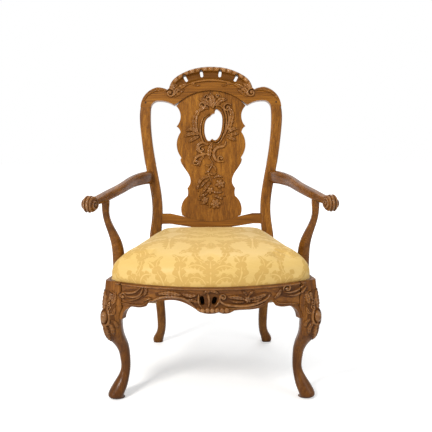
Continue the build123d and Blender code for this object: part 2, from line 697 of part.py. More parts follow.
def arm_body(grow=0.0):
    """The right arm with its knuckle, running a little into the stile."""
    spots = [arm_spot(*station[:3]) for station in ARM_STATIONS]
    path = Spline(*spots)
    sections = []
    for spot, station in zip(spots, ARM_STATIONS):
        width = station[3] + 2 * grow
        height = station[4] + 2 * grow
        along = path.tangent_at(path.param_at_point(spot))
        plane = Plane(origin=spot, x_dir=along.cross(Vector(0, 0, 1)), z_dir=along)
        sections.append(plane * RectangleRounded(width, height, 0.4 * min(station[3:])))
    end = spots[-1]
    along = path.tangent_at(1)
    turn = math.degrees(math.atan2(along.Y, along.X)) + 90
    scroll = Cylinder(KNUCKLE + grow, KNUCKLE_WIDE + 2 * grow, rotation=(0, 90, 0))
    scroll = fillet(scroll.edges().filter_by(GeomType.CIRCLE), 0.48 * KNUCKLE)
    scroll = Pos(end.X, end.Y, end.Z - 4) * Rot(0, 0, turn) * scroll
    return loft(sections) + scroll


def arm_tenon(grow=0.0):
    """The arm's tenon in the stile."""
    middle = ARM_ROOT - 12
    return back_box(middle, ARM_RISE, 8, 12, 28, 30, grow)


arm = arm_body() - rear_cutter + arm_tenon()

# Arm supports: share of the height up to the arm, outer step, width, depth.
SUPPORT_BASE = RAIL_TOP - SUPPORT_LAP
SUPPORT_TOP = ROOT.Z - 0.72 * ARM_FALL - 3
SUPPORT_STATIONS = [
    (0.0, -3.0, 36.0, 44.0),
    (0.17, 2.0, 38.0, 46.0),
    (0.34, 3.0, 37.0, 40.0),
    (0.54, 12.0, 31.0, 34.0),
    (0.74, 31.0, 21.0, 28.0),
    (0.87, 34.0, 22.0, 27.0),
    (1.0, 33.5, 24.0, 27.0),
]
SUPPORT_X = side_x(SUPPORT_Y) + 15


def support_spot(share, step):
    lean = SUPPORT_LEAN * share**1.4
    height = SUPPORT_BASE + share * (SUPPORT_TOP - SUPPORT_BASE)
    return Vector(SUPPORT_X + step, SUPPORT_Y - lean, height)


support_sections = []
for share, step, width, depth in SUPPORT_STATIONS:
    spot = support_spot(share, step)
    section = RectangleRounded(width, depth, 0.35 * width)
    support_sections.append(Pos(spot.X, spot.Y, spot.Z) * section)
support_head = support_spot(0.93, 34.0)


def support_tenon(grow=0.0):
    """The round tenon at the support's top."""
    post = Cylinder(7 + grow, 40 + grow, align=(Align.CENTER, Align.CENTER, Align.MIN))
    return Pos(support_head.X, support_head.Y, support_head.Z - 18) * post


arm_cutter = arm_body(SHOULDER_GAP)
arm_support = loft(support_sections) - side_rail_body(SHOULDER_GAP) - arm_cutter
arm_support += support_tenon()
arm -= support_tenon(JOINT_GAP)

# Legs with their mortises
leg_cutter = front_leg_body(SHOULDER_GAP)
front_leg = front_leg_body() - rebate - front_tenon(1, JOINT_GAP) - side_tenons(JOINT_GAP)
rear_leg = rear_leg_body() - side_tenons(JOINT_GAP) - rear_tenons(JOINT_GAP)
rear_leg = rear_leg - rail_tenon(1, JOINT_GAP) - arm_tenon(JOINT_GAP) + stile_tenon()
crest_blank = crest_rail
crest_mortises = both_sides(stile_tenon(JOINT_GAP))
crest_rail = crest_rail - crest_mortises[0] - crest_mortises[1]

# Knee brackets: the ears between a knee and the rails
ear_line = Line((0, 0), (-EAR_LONG, 0))
ear_line += ThreePointArc((-EAR_LONG, 0), (-0.28 * EAR_LONG, -0.3 * EAR_TALL), (4, -EAR_TALL))
ear_line += Line((4, -EAR_TALL), (20, -EAR_TALL)) + Line((20, -EAR_TALL), (20, 0))
ear_line += Line((20, 0), (0, 0))
ear = make_face(ear_line)
front_ear_plane = Plane(
    origin=(BLOCK_IN, bow_y(BLOCK_IN) + 4, BLOCK_FOOT - SHOULDER_GAP),
    x_dir=(math.cos(0.42), math.sin(0.42), 0),
    z_dir=(math.sin(0.42), -math.cos(0.42), 0),
)
knee_bracket_front = extrude(front_ear_plane * ear, -24) - leg_cutter
side_ear_plane = Plane(
    origin=(side_x(BLOCK_REAR, 3), BLOCK_REAR, BLOCK_FOOT - SHOULDER_GAP),
    x_dir=(SIDE_SLOPE, -1, 0),
    z_dir=(-1, -SIDE_SLOPE, 0),
)
knee_bracket_side = extrude(side_ear_plane * ear, 24) - leg_cutter

# Corner blocks inside the rails
inside = seat_region(
    FRONT_THICK + SHOULDER_GAP, SIDE_THICK + SHOULDER_GAP, REAR_LEDGE + SHOULDER_GAP
)
front_corner = (side_x(BLOCK_REAR, SIDE_THICK), bow_y(BLOCK_IN, FRONT_THICK) - 10)
front_triangle = make_face(
    Polyline(
        (front_corner[0] + 20, front_corner[1] - 30),
        (front_corner[0] + 20, front_corner[1] + BLOCK_REACH + 20),
        (front_corner[0] - BLOCK_REACH - 20, front_corner[1] - 30),
        close=True,
    )
)
rear_corner = (side_x(rear_y, SIDE_THICK), rear_y)
rear_triangle = make_face(
    Polyline(
        (rear_corner[0] + 20, rear_corner[1] + 20),
        (rear_corner[0] - BLOCK_REACH, rear_corner[1] + 20),
        (rear_corner[0] + 20, rear_corner[1] - BLOCK_REACH),
        close=True,
    )
)
block_low = LEDGE - 4 - BLOCK_TALL
corner_block_front = slab(front_triangle & inside, block_low, LEDGE - 4) - leg_cutter
corner_block_rear = slab(rear_triangle & inside, block_low, LEDGE - 4) - rear_cutter

# Pegs, cut off flush with the wood that they pin
peg_up = JOINT_UP + 17
peg_x = SHOULDER_HALF - STILE_SLIM / 2
crest_peg = back_pin(peg_x, peg_up, PEG_RADIUS) & crest_blank
crest_hole = back_pin(peg_x, peg_up, PEG_RADIUS + PIN_GAP)
crest_rail = crest_rail - crest_hole - mirror(crest_hole, about=Plane.YZ)
rear_leg -= crest_hole


def cross_pin(middle, reach, radius):
    """A peg along X whose middle is at a point."""
    return Pos(middle.X, middle.Y, middle.Z) * Cylinder(radius, reach, rotation=(0, 90, 0))


rail_pegs = []
front_blank = front_leg_body()
rear_blank = rear_leg_body()
for share in (0.25, 0.75):
    height = TENON_LOW + share * TENON_TALL
    front_y = BLOCK_REAR - TENON_LONG / 2 + 2
    front_spot = Vector(side_x(front_y, SIDE_MID) + 14, front_y, height)
    rear_spot = Vector(REAR_HALF - 3, SEAT_DEPTH + TENON_LONG / 2, height)
    rail_pegs.append(cross_pin(front_spot, 52, PEG_RADIUS) & front_blank)
    rail_pegs.append(cross_pin(rear_spot, 46, PEG_RADIUS) & rear_blank)
    front_leg -= cross_pin(front_spot, 52, PEG_RADIUS + PIN_GAP)
    rear_leg -= cross_pin(rear_spot, 46, PEG_RADIUS + PIN_GAP)
    side_seat_rail -= cross_pin(front_spot, 52, PEG_RADIUS + PIN_GAP)
    side_seat_rail -= cross_pin(rear_spot, 46, PEG_RADIUS + PIN_GAP)

arm_peg_spot = BACK.from_local_coords((ARM_ROOT, ARM_RISE, -15))
arm_peg = cross_pin(arm_peg_spot, 48, PEG_RADIUS) & rear_blank
arm_hole = cross_pin(arm_peg_spot, 48, PEG_RADIUS + PIN_GAP)
rear_leg -= arm_hole
arm -= arm_hole

# Screws from the side rails into the arm supports
support_screws = []
for share in (0.25, 0.7):
    height = BLOCK_FOOT + 20 + share * (LEDGE - BLOCK_FOOT - 20)
    place = Plane(
        origin=(side_x(SUPPORT_Y, SIDE_THICK), SUPPORT_Y, height), z_dir=(1, SIDE_SLOPE, 0)
    )
    support_screws.append(wood_screw(place, SUPPORT_SCREW))
    side_seat_rail -= wood_screw(place, SUPPORT_SCREW, PIN_GAP)
    arm_support -= wood_screw(place, SUPPORT_SCREW, PIN_GAP)

# Screws from the corner blocks into the rails
screw_up = block_low + BLOCK_TALL / 2
front_in_x = BLOCK_IN - 50
side_in_y = BLOCK_REAR + 26
back_in_x = rear_corner[0] - 36
back_in_y = rear_y - 36
front_screw = Plane(
    origin=(front_in_x, bow_y(front_in_x, FRONT_THICK) + 18, screw_up), z_dir=(0, -1, 0)
)
side_screw = Plane(
    origin=(side_x(side_in_y, SIDE_THICK + 13), side_in_y, screw_up), z_dir=(1, SIDE_SLOPE, 0)
)
rear_screw = Plane(origin=(back_in_x, rear_y - 15, screw_up), z_dir=(0, 1, 0))
rear_side_screw = Plane(
    origin=(side_x(back_in_y, SIDE_THICK + 13), back_in_y, screw_up), z_dir=(1, SIDE_SLOPE, 0)
)
block_screws = []
for place in (front_screw, side_screw, rear_screw, rear_side_screw):
    block_screws.append(wood_screw(place, SCREW_LONG))
for place in (front_screw, side_screw):
    corner_block_front = corner_block_front - wood_screw(place, SCREW_LONG, PIN_GAP)
    corner_block_front -= counterbore(place)
for place in (rear_screw, rear_side_screw):
    corner_block_rear = corner_block_rear - wood_screw(place, SCREW_LONG, PIN_GAP)
    corner_block_rear -= counterbore(place)
for place in (side_screw, rear_side_screw):
    side_seat_rail -= wood_screw(place, SCREW_LONG, PIN_GAP)
for hole in both_sides(wood_screw(front_screw, SCREW_LONG, PIN_GAP)):
    front_seat_rail -= hole
for hole in both_sides(wood_screw(rear_screw, SCREW_LONG, PIN_GAP)):
    rear_seat_rail -= hole

# Lift-out seat, from its underside up
SEAT_LOW = LEDGE + LAYER_GAP
FRAME_LOW = SEAT_LOW + CLOTH + LAYER_GAP
FRAME_TOP = FRAME_LOW + FRAME_TALL
COVER_IN = SEAT_GAP + CLOTH
FRAME_IN = COVER_IN + LAYER_GAP

ring = seat_plan(FRAME_IN) - seat_plan(FRAME_IN + FRAME_RING)
middle = (FRAME_LOW + FRAME_TOP) / 2
lap_front = CORNER_BACK + FRAME_RING - 8
lap_back = SEAT_DEPTH - FRAME_RING
front_zone = Pos(0, lap_front - 500) * Rectangle(2000, 1000)
back_zone = Pos(0, lap_back + 500) * Rectangle(2000, 1000)
side_zone = Pos(REAR_HALF - 60 + 500, 0) * Rectangle(1000, 2000)
side_ring = ring & side_zone
seat_frame_right = slab(side_ring, FRAME_LOW, middle)
seat_frame_right += slab(side_ring - front_zone - back_zone, middle, FRAME_TOP)
low_side = slab(side_ring, FRAME_LOW, middle)
low_sides = low_side + mirror(low_side, about=Plane.YZ)
seat_frame_front = slab(ring & front_zone, FRAME_LOW, FRAME_TOP) - low_sides
seat_frame_back = slab(ring & back_zone, FRAME_LOW, FRAME_TOP) - low_sides

# Webbing: straps that pass over and under each other
WEB_UP = FRAME_TOP + LAYER_GAP + WEB_THICK + 0.3
WEB_WAVE = WEB_THICK / 2 + LAYER_GAP
END_DIP = WEB_THICK / 2 + 0.3


def strap(crossings, start, end, first_up):
    """A strap's side view: it ends on the frame and weaves at each crossing."""
    points = [(start, -END_DIP), (start + 22, -END_DIP)]
    up = first_up
    for crossing in crossings:
        for edge in (-1, 1):
            points.append((crossing + edge * (WEB_WIDE / 2 + 3), up * WEB_WAVE))
        up = -up
    points += [(end - 22, -END_DIP), (end, -END_DIP)]
    half = WEB_THICK / 2
    over = [(x, z + half) for x, z in points]
    under = [(x, z - half) for x, z in reversed(points)]
    return make_face(Polyline(*over, *under, close=True))


web_x = [(i - (WEB_COUNT - 1) / 2) * 78 for i in range(WEB_COUNT)]
web_y = [SEAT_MIDDLE + (i - (WEB_COUNT - 1) / 2) * 92 for i in range(WEB_COUNT)]
seat_webbing_long = []
for i, x in enumerate(web_x):
    start = bow_y(abs(x) + WEB_WIDE / 2, SEAT_LIP + 16)
    side_view = strap(web_y, start, SEAT_DEPTH - 16, (-1) ** i)
    plane = Plane(origin=(x, 0, WEB_UP), x_dir=(0, 1, 0), z_dir=(1, 0, 0))
    seat_webbing_long.append(extrude(plane * side_view, WEB_WIDE / 2, both=True))
seat_webbing_cross = []
for i, y in enumerate(web_y):
    reach = side_x(y + WEB_WIDE / 2, SEAT_LIP + 14)
    side_view = strap(web_x, -reach, reach, (-1) ** (i + 1))
    plane = Plane(origin=(0, y, WEB_UP), x_dir=(1, 0, 0), z_dir=(0, -1, 0))
    seat_webbing_cross.append(extrude(plane * side_view, WEB_WIDE / 2, both=True))

HESSIAN_LOW = WEB_UP + WEB_WAVE + WEB_THICK / 2 + LAYER_GAP
seat_hessian = slab(seat_plan(FRAME_IN + 8), HESSIAN_LOW, HESSIAN_LOW + CLOTH)


def dome(inset, drop):
    """The stuffed shape over the loose frame: one outline drawn in as it rises."""
    sections = []
    for degrees in (0, 13, 27, 41, 55, 69, 81, 87.5):
        angle = math.radians(degrees)
        share = math.cos(angle) ** (2 / CROWN_POWER)
        share *= 1 + SWELL * math.sin(2 * angle) * math.cos(angle)
        rise = (CROWN - drop) * math.sin(angle) ** (2 / CROWN_POWER)
        sections.append(Pos(0, 0, FRAME_TOP + rise) * seat_plan(inset, share))
    return loft(sections)


skin = slab(seat_plan(SEAT_GAP), SEAT_LOW, FRAME_TOP) + dome(SEAT_GAP, 0)
hollow = slab(seat_plan(COVER_IN), SEAT_LOW + CLOTH, FRAME_TOP) + dome(COVER_IN, CLOTH)
under_hole = slab(seat_plan(SEAT_GAP + TURN_UNDER), 0, FRAME_LOW)
seat_cover = skin - hollow - under_hole
STUFFING_LOW = HESSIAN_LOW + CLOTH + LAYER_GAP
above = slab(Rectangle(2000, 2000), STUFFING_LOW, STUFFING_LOW + 400)
seat_stuffing = dome(FRAME_IN + LAYER_GAP, CLOTH + 3 * LAYER_GAP) & above

cloth_edge = SEAT_GAP + TURN_UNDER + 3
seat_dust_cloth = slab(seat_plan(cloth_edge), SEAT_LOW, SEAT_LOW + CLOTH)


def tack(x, y):
    """A tack through the turned-under cover into the loose frame."""
    head = Pos(0, 0, SEAT_LOW - 0.7) * Cylinder(3.2, 1.0)
    shank = Pos(0, 0, SEAT_LOW + 4.3) * Cylinder(0.8, 9.0)
    return Pos(x, y) * (head + shank)


def tack_hole(x, y):
    return Pos(x, y, SEAT_LOW + 4.3) * Cylinder(0.8 + PIN_GAP, 9.4)


tack_inset = SEAT_LIP + SEAT_GAP + TURN_UNDER - 8
tack_spots = []
side_count = int((lap_back - lap_front - 60) / TACK_PITCH)
for i in range(side_count + 1):
    y = lap_front + 50 + i * (lap_back - lap_front - 60) / side_count
    tack_spots += [(side_x(y, tack_inset), y), (-side_x(y, tack_inset), y)]
rear_count = int(2 * (REAR_HALF - 90) / TACK_PITCH)
for i in range(rear_count + 1):
    x = (i - rear_count / 2) * TACK_PITCH
    tack_spots.append((x, SEAT_DEPTH - SEAT_GAP - TURN_UNDER + 8))
front_count = int(2 * (BLOCK_IN - 60) / TACK_PITCH)
for i in range(front_count + 1):
    x = (i - front_count / 2) * TACK_PITCH
    tack_spots.append((x, bow_y(x, tack_inset)))
cover_tacks = [tack(x, y) for x, y in tack_spots]
holes = Compound([tack_hole(x, y) for x, y in tack_spots])
seat_cover -= holes
seat_frame_right -= holes
seat_frame_left = mirror(seat_frame_right, about=Plane.YZ)
seat_frame_front -= holes
seat_frame_back -= holes

# Names of the pieces
pieces = {
    "front_seat_rail": front_seat_rail,
    "rear_seat_rail": rear_seat_rail,
    "crest_rail": crest_rail,
    "splat": splat,
    "splat_rail": splat_rail,
    "seat_frame_front": seat_frame_front,
    "seat_frame_back": seat_frame_back,
    "seat_frame_left": seat_frame_left,
    "seat_frame_right": seat_frame_right,
    "seat_hessian": seat_hessian,
    "seat_stuffing": seat_stuffing,
    "seat_cover": seat_cover,
    "seat_dust_cloth": seat_dust_cloth,
}
pairs = {
    "front_leg": front_leg,
    "rear_leg": rear_leg,
    "side_seat_rail": side_seat_rail,
    "knee_bracket_front": knee_bracket_front,
    "knee_bracket_side": knee_bracket_side,
    "arm": arm,
    "arm_support": arm_support,
    "corner_block_front": corner_block_front,
    "corner_block_rear": corner_block_rear,
}
for name, right in pairs.items():
    pieces[name + "_right"], pieces[name + "_left"] = both_sides(right)
groups = {
    "crest_pegs": both_sides(crest_peg),
    "arm_pegs": both_sides(arm_peg),
    "rail_pegs": [twin for peg in rail_pegs for twin in both_sides(peg)],
    "support_screws": [twin for screw in support_screws for twin in both_sides(screw)],
    "block_screws": [twin for screw in block_screws for twin in both_sides(screw)],
    "seat_webbing_long": seat_webbing_long,
    "seat_webbing_cross": seat_webbing_cross,
    "cover_tacks": cover_tacks,
}
for name, members in groups.items():
    pieces[name] = Compound([member for member in members])

# The origin moves to the middle of the chair's depth, on the floor.
DEPTH_BACK = BACK.from_local_coords((0, BACK_HEIGHT, -STILE_THIN)).Y
MIDDLE_Y = (DEPTH_BACK - FRONT_BOW) / 2
for name, piece in pieces.items():
    export_step(Pos(0, -MIDDLE_Y, 0) * piece, f"parts/{name}.step")
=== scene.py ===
# %% [markdown]
# # A carved armchair with a drop-in damask seat
# This lesson dresses a finished joinery model. The wooden pieces, their joints and their sizes come from
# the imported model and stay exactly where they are. What is added here is what a carver, a polisher and an
# upholsterer would add: relief carving, a waxed finish, and a stuffed seat under golden damask.

# %% Load the joinery
import bpy
import math
import numpy as np
from mathutils import Matrix, Vector
from mathutils.bvhtree import BVHTree


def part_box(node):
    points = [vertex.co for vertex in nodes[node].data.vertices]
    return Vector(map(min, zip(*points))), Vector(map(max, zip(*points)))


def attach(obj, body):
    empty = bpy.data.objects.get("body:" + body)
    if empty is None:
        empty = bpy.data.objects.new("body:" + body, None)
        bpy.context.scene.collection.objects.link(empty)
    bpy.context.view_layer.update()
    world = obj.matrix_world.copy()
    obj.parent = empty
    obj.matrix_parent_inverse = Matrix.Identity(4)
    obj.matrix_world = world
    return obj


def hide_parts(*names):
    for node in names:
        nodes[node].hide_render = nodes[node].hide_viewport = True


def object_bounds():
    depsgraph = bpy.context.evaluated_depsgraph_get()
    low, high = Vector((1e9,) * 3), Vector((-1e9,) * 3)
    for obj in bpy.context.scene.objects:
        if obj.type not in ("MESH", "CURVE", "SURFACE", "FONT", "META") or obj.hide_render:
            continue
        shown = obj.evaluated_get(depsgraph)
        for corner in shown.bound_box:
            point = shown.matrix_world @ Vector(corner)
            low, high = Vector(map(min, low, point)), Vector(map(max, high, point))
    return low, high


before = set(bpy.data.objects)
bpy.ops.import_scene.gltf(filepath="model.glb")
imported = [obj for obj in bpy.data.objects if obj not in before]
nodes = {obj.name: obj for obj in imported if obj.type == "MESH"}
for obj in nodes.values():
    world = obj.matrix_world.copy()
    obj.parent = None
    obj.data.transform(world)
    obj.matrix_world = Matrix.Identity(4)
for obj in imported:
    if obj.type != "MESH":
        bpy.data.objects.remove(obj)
cad_low, cad_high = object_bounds()
print("joinery:", len(nodes), "pieces, box", [round(v, 4) for v in cad_high - cad_low])

# %% [markdown]
# ## The chair's own measures
# The carving is drawn in millimetres on the faces of the chair, as on a carver's pattern. A few sizes of
# the joinery are enough to place it: half the width in front and at the back, the depth of the seat, the
# height of the rails, the rake of the back, and the bow of the front rail. The joinery's origin is in the
# middle of its depth, so lengths measured from the front leg corners are shifted by that half depth.

# %% Measures of the faces
FRONT_HALF = 320.0
REAR_HALF = 230.0
SEAT_DEPTH = 470.0
RAIL_TOP = 390.0
BACK_RAKE = math.radians(9.0)
FRONT_BOW = 80.0
CORNER_BACK = 14.0
BOW_RISE = FRONT_BOW + CORNER_BACK
BOW_RADIUS = round((FRONT_HALF**2 + BOW_RISE**2) / (2 * BOW_RISE), 2)
BOW_CENTRE = BOW_RADIUS - FRONT_BOW
MIDDLE_Y = -1000 * cad_low.y - FRONT_BOW
HANDS = ((-1, "left"), (1, "right"))


def metres(x, y, z):
    """Millimetres from the front leg corners to metres in the joinery's frame."""
    return np.stack([x, y - MIDDLE_Y, z], -1) / 1000


def bow_y(x):
    """Depth of the front rail's face at a distance from the middle."""
    return BOW_CENTRE - np.sqrt(BOW_RADIUS**2 - x**2)


print("front leg corners", round(MIDDLE_Y, 2), "mm before the middle, bow radius", round(BOW_RADIUS, 1))

# %% [markdown]
# ## Camera
# The picture was taken from standing height about two metres in front of the seat, tipped down nine
# degrees, with a slightly long lens.

# %% Camera
EYE_PLACE = (17.0, -1884.0, 892.0)
EYE_TIPPED = math.radians(90 - 9.17)
EYE_ROLLED = math.radians(-0.3)
eye = bpy.data.objects.new("eye", bpy.data.cameras.new("eye"))
bpy.context.scene.collection.objects.link(eye)
eye.data.sensor_width = 36.0
eye.data.lens = 53.6
turned = Matrix.Rotation(EYE_TIPPED, 4, "X") @ Matrix.Rotation(EYE_ROLLED, 4, "Z")
eye.matrix_world = Matrix.Translation(metres(*EYE_PLACE)) @ turned
bpy.context.scene.camera = eye
print("camera at", [round(v, 3) for v in eye.location], "lens", eye.data.lens)

# %% [markdown]
# ## Shader arithmetic
# A finish is a tree of small nodes. Written as boxes and wires it is hard to read, so one class wraps a
# socket: adding or multiplying two of them adds a Math node. Colours go through Mix nodes, because a Math
# node would turn them grey. Every other node comes from the one method `add`.

# %% Sockets that can be added and multiplied
class Thread:
    """One output socket of a finish; arithmetic on it adds Math nodes."""

    def __init__(self, finish, socket):
        self.finish = finish
        self.socket = socket

    def math(self, operation, *values):
        return self.finish.add("ShaderNodeMath", {"operation": operation}, dict(enumerate(values)))

    def __add__(self, other):
        return self.math("ADD", self, other)

    def __sub__(self, other):
        return self.math("SUBTRACT", self, other)

    def __rsub__(self, other):
        return self.math("SUBTRACT", other, self)

    def __mul__(self, other):
        return self.math("MULTIPLY", self, other)

    def __truediv__(self, other):
        return self.math("DIVIDE", self, other)

    def __rtruediv__(self, other):
        return self.math("DIVIDE", other, self)

    def __pow__(self, other):
        return self.math("POWER", self, other)

    def __abs__(self):
        return self.math("ABSOLUTE", self)

    __radd__ = __add__
    __rmul__ = __mul__

    def ramp(self, low, high):
        """0 at low, 1 at high, smooth between and level beyond them."""
        settings = {"interpolation_type": "SMOOTHSTEP"}
        sockets = {"Value": self, "From Min": low, "From Max": high}
        return self.finish.add("ShaderNodeMapRange", settings, sockets)

    def beside(self, out):
        """Another output of the same node."""
        return Thread(self.finish, self.socket.node.outputs[out])


print("sockets can be added, multiplied and ramped")

# %% A finish and its nodes
class Finish:
    """The node tree of a new material, or of the world, with one method that adds any node."""

    def __init__(self, name, world=None):
        self.material = world or bpy.data.materials.new(name)
        self.material.use_nodes = True
        self.tree = self.material.node_tree
        self.shader = self.tree.nodes.get("Principled BSDF")

    def add(self, kind, settings=None, sockets=None, out=0):
        node = self.tree.nodes.new(kind)
        for key, value in (settings or {}).items():
            if key == "stops":
                ramp = node.color_ramp
                while len(ramp.elements) < len(value):
                    ramp.elements.new(0.5)
                for element, (place, colour) in zip(ramp.elements, value):
                    element.position = place
                    element.color = (*colour, 1)
            else:
                setattr(node, key, value)
        for key, value in (sockets or {}).items():
            self.feed(node.inputs[key], value)
        return Thread(self, node.outputs[out])

    def feed(self, socket, value):
        if isinstance(value, Thread):
            self.tree.links.new(value.socket, socket)
        elif hasattr(value, "__len__") and len(value) == 3 and socket.type == "RGBA":
            socket.default_value = (*value, 1)
        else:
            socket.default_value = value

    def place(self, kind="Object"):
        return self.add("ShaderNodeTexCoord", out=kind)

    def scaled(self, place, scale):
        return self.add("ShaderNodeMapping", None, {"Vector": place, "Scale": scale})

    def mix(self, share, first, second):
        return self.add("ShaderNodeMix", {"data_type": "RGBA"}, {0: share, 6: first, 7: second}, out=2)

    def noise(self, place, scale, detail=4.0, rough=0.55, bend=0.0):
        sockets = {"Vector": place, "Scale": scale, "Detail": detail, "Roughness": rough, "Distortion": bend}
        return self.add("ShaderNodeTexNoise", None, sockets)

    def bump(self, height, strength, distance):
        sockets = {"Strength": strength, "Distance": distance, "Height": height}
        return self.add("ShaderNodeBump", None, sockets)

    def surface(self, **sockets):
        for key, value in sockets.items():
            self.feed(self.shader.inputs[key.replace("_", " ")], value)


print("finishes can be mixed from nodes")

# %% [markdown]
# ## Studio
# A pale floor takes the soft shadow. Seen directly, the floor and the world are white; the light that they
# give to the chair stays at a plain level, so the wood keeps its own colour. A Light Path node tells the
# two apart.

# %% The floor
FLOOR_HALF = 9.0
NEAR_GLOW, FAR_GLOW = 0.42, 0.6


def new_mesh(name, verts, faces, smooth=True):
    """A mesh object from arrays of points and faces."""
    mesh = bpy.data.meshes.new(name)
    mesh.from_pydata([tuple(v) for v in verts], [], [tuple(f) for f in faces])
    mesh.update()
    if smooth:
        mesh.polygons.foreach_set("use_smooth", [True] * len(mesh.polygons))
    piece = bpy.data.objects.new(name, mesh)
    bpy.context.scene.collection.objects.link(piece)
    return piece


def seen_directly(finish):
    """1 for what the camera sees, straight on or in a reflection."""
    path = finish.add("ShaderNodeLightPath", out="Is Camera Ray")
    seen = path
    for ray in ("Is Glossy Ray", "Is Transmission Ray"):
        seen = seen.math("MAXIMUM", seen, path.beside(ray))
    return seen


corners = [(FLOOR_HALF * x, FLOOR_HALF * y, 0) for x, y in ((-1, -1), (1, -1), (1, 1), (-1, 1))]
floor = new_mesh("floor", corners, [(0, 1, 2, 3)], False)
paper = Finish("studio_paper")
centre = paper.place()
fibres = paper.noise(centre, 40.0, 5.0)
distance = paper.add("ShaderNodeVectorMath", {"operation": "LENGTH"}, {0: centre}, out="Value")
bright = seen_directly(paper) * (NEAR_GLOW + distance.ramp(0.7, 2.6) * FAR_GLOW)
paper.surface(
    Base_Color=paper.mix(fibres, (0.80, 0.80, 0.79), (0.84, 0.84, 0.83)),
    Emission_Color=paper.mix(bright, (0.0, 0.0, 0.0), (1.0, 1.0, 1.0)),
)
paper.surface(Roughness=0.9, Specular_IOR_Level=0.0, Emission_Strength=1.0)
floor.data.materials.append(paper.material)
print("floor", 2 * FLOOR_HALF, "m wide")

# %% The world and the lamps
world = bpy.context.scene.world or bpy.data.worlds.new("studio")
bpy.context.scene.world = world
sky = Finish("studio", world)
sky.tree.nodes.clear()
dim = sky.add("ShaderNodeBackground", None, {"Color": (0.93, 0.96, 1.0), "Strength": 0.34})
white = sky.add("ShaderNodeBackground", None, {"Color": (1.0, 1.0, 1.0)})
either = sky.add("ShaderNodeMixShader", None, {0: seen_directly(sky), 1: dim, 2: white})
sky.feed(sky.tree.nodes.new("ShaderNodeOutputWorld").inputs[0], either)
bpy.context.scene.view_settings.view_transform = "Standard"


def lamp(name, place, aim, size, watts, colour):
    """A square lamp, in metres, turned towards what it lights."""
    light = bpy.data.lights.new(name, "AREA")
    light.size = size
    light.energy = watts
    light.color = colour
    holder = bpy.data.objects.new(name, light)
    holder.location = place
    holder.rotation_euler = (Vector(aim) - Vector(place)).to_track_quat("-Z", "Y").to_euler()
    bpy.context.scene.collection.objects.link(holder)


lamp("key_lamp", (-1.5, -2.3, 2.5), (0, 0, 0.55), 0.7, 78, (1.0, 0.97, 0.93))
lamp("fill_lamp", (2.3, -1.9, 1.7), (0, 0, 0.5), 1.8, 26, (0.95, 0.97, 1.0))
lamp("strip_lamp", (-1.9, -2.1, 0.85), (0, 0, 0.5), 0.35, 13, (1.0, 0.98, 0.95))
lamp("top_lamp", (0.2, 0.9, 2.7), (0, 0, 0.4), 1.6, 30, (1.0, 1.0, 1.0))
print("lamps:", len(bpy.data.lights))

# %% [markdown]
# ## Waxed wood
# The frame is a warm golden oak, stained and waxed many times over. Five things make it read as such. The
# figure runs along each piece, so it is a noise drawn out along the grain. Fine dark pores lie in the same
# direction. Every hollow is darker, partly as dust and old wax and partly as painted shade; an ambient
# occlusion node finds the hollows from the shape itself. The wood is also darker towards the floor, as
# painted shade. And on carving the high places are paler, partly as wear from hands and dusters and partly
# as painted highlight, while the low grounds are darker as dirt and painted shade: those pieces store how
# high each point stands, in a value named relief, and the finish reads it.

# %% Grain and pores
def deeper(colour, share):
    """A colour with only a share of its light."""
    return tuple(share * value for value in colour)


def grain_of(wood, place, grain):
    """Figure, streaks and pores drawn out along axis 0, 1 or 2."""
    def drawn_out(share):
        scale = [1.0, 1.0, 1.0]
        scale[grain] = share
        return wood.scaled(place, scale)

    long_grain = drawn_out(0.03)
    figure = wood.noise(long_grain, 48.0, 4.0, 0.55, 0.3)
    streaks = wood.noise(long_grain, 210.0, 3.0, 0.6)
    pores = wood.noise(drawn_out(0.02), 800.0, 2.0, 0.5).ramp(0.57, 0.68)
    return figure, streaks, pores


print("grain runs along x, y or z")

# %% The wood finish
# pale colour of the high places of carving: painted highlight and wear
RUBBED_HIGHLIGHT = (0.44, 0.235, 0.095)
SHADE_AND_WAX_REACH = 0.035


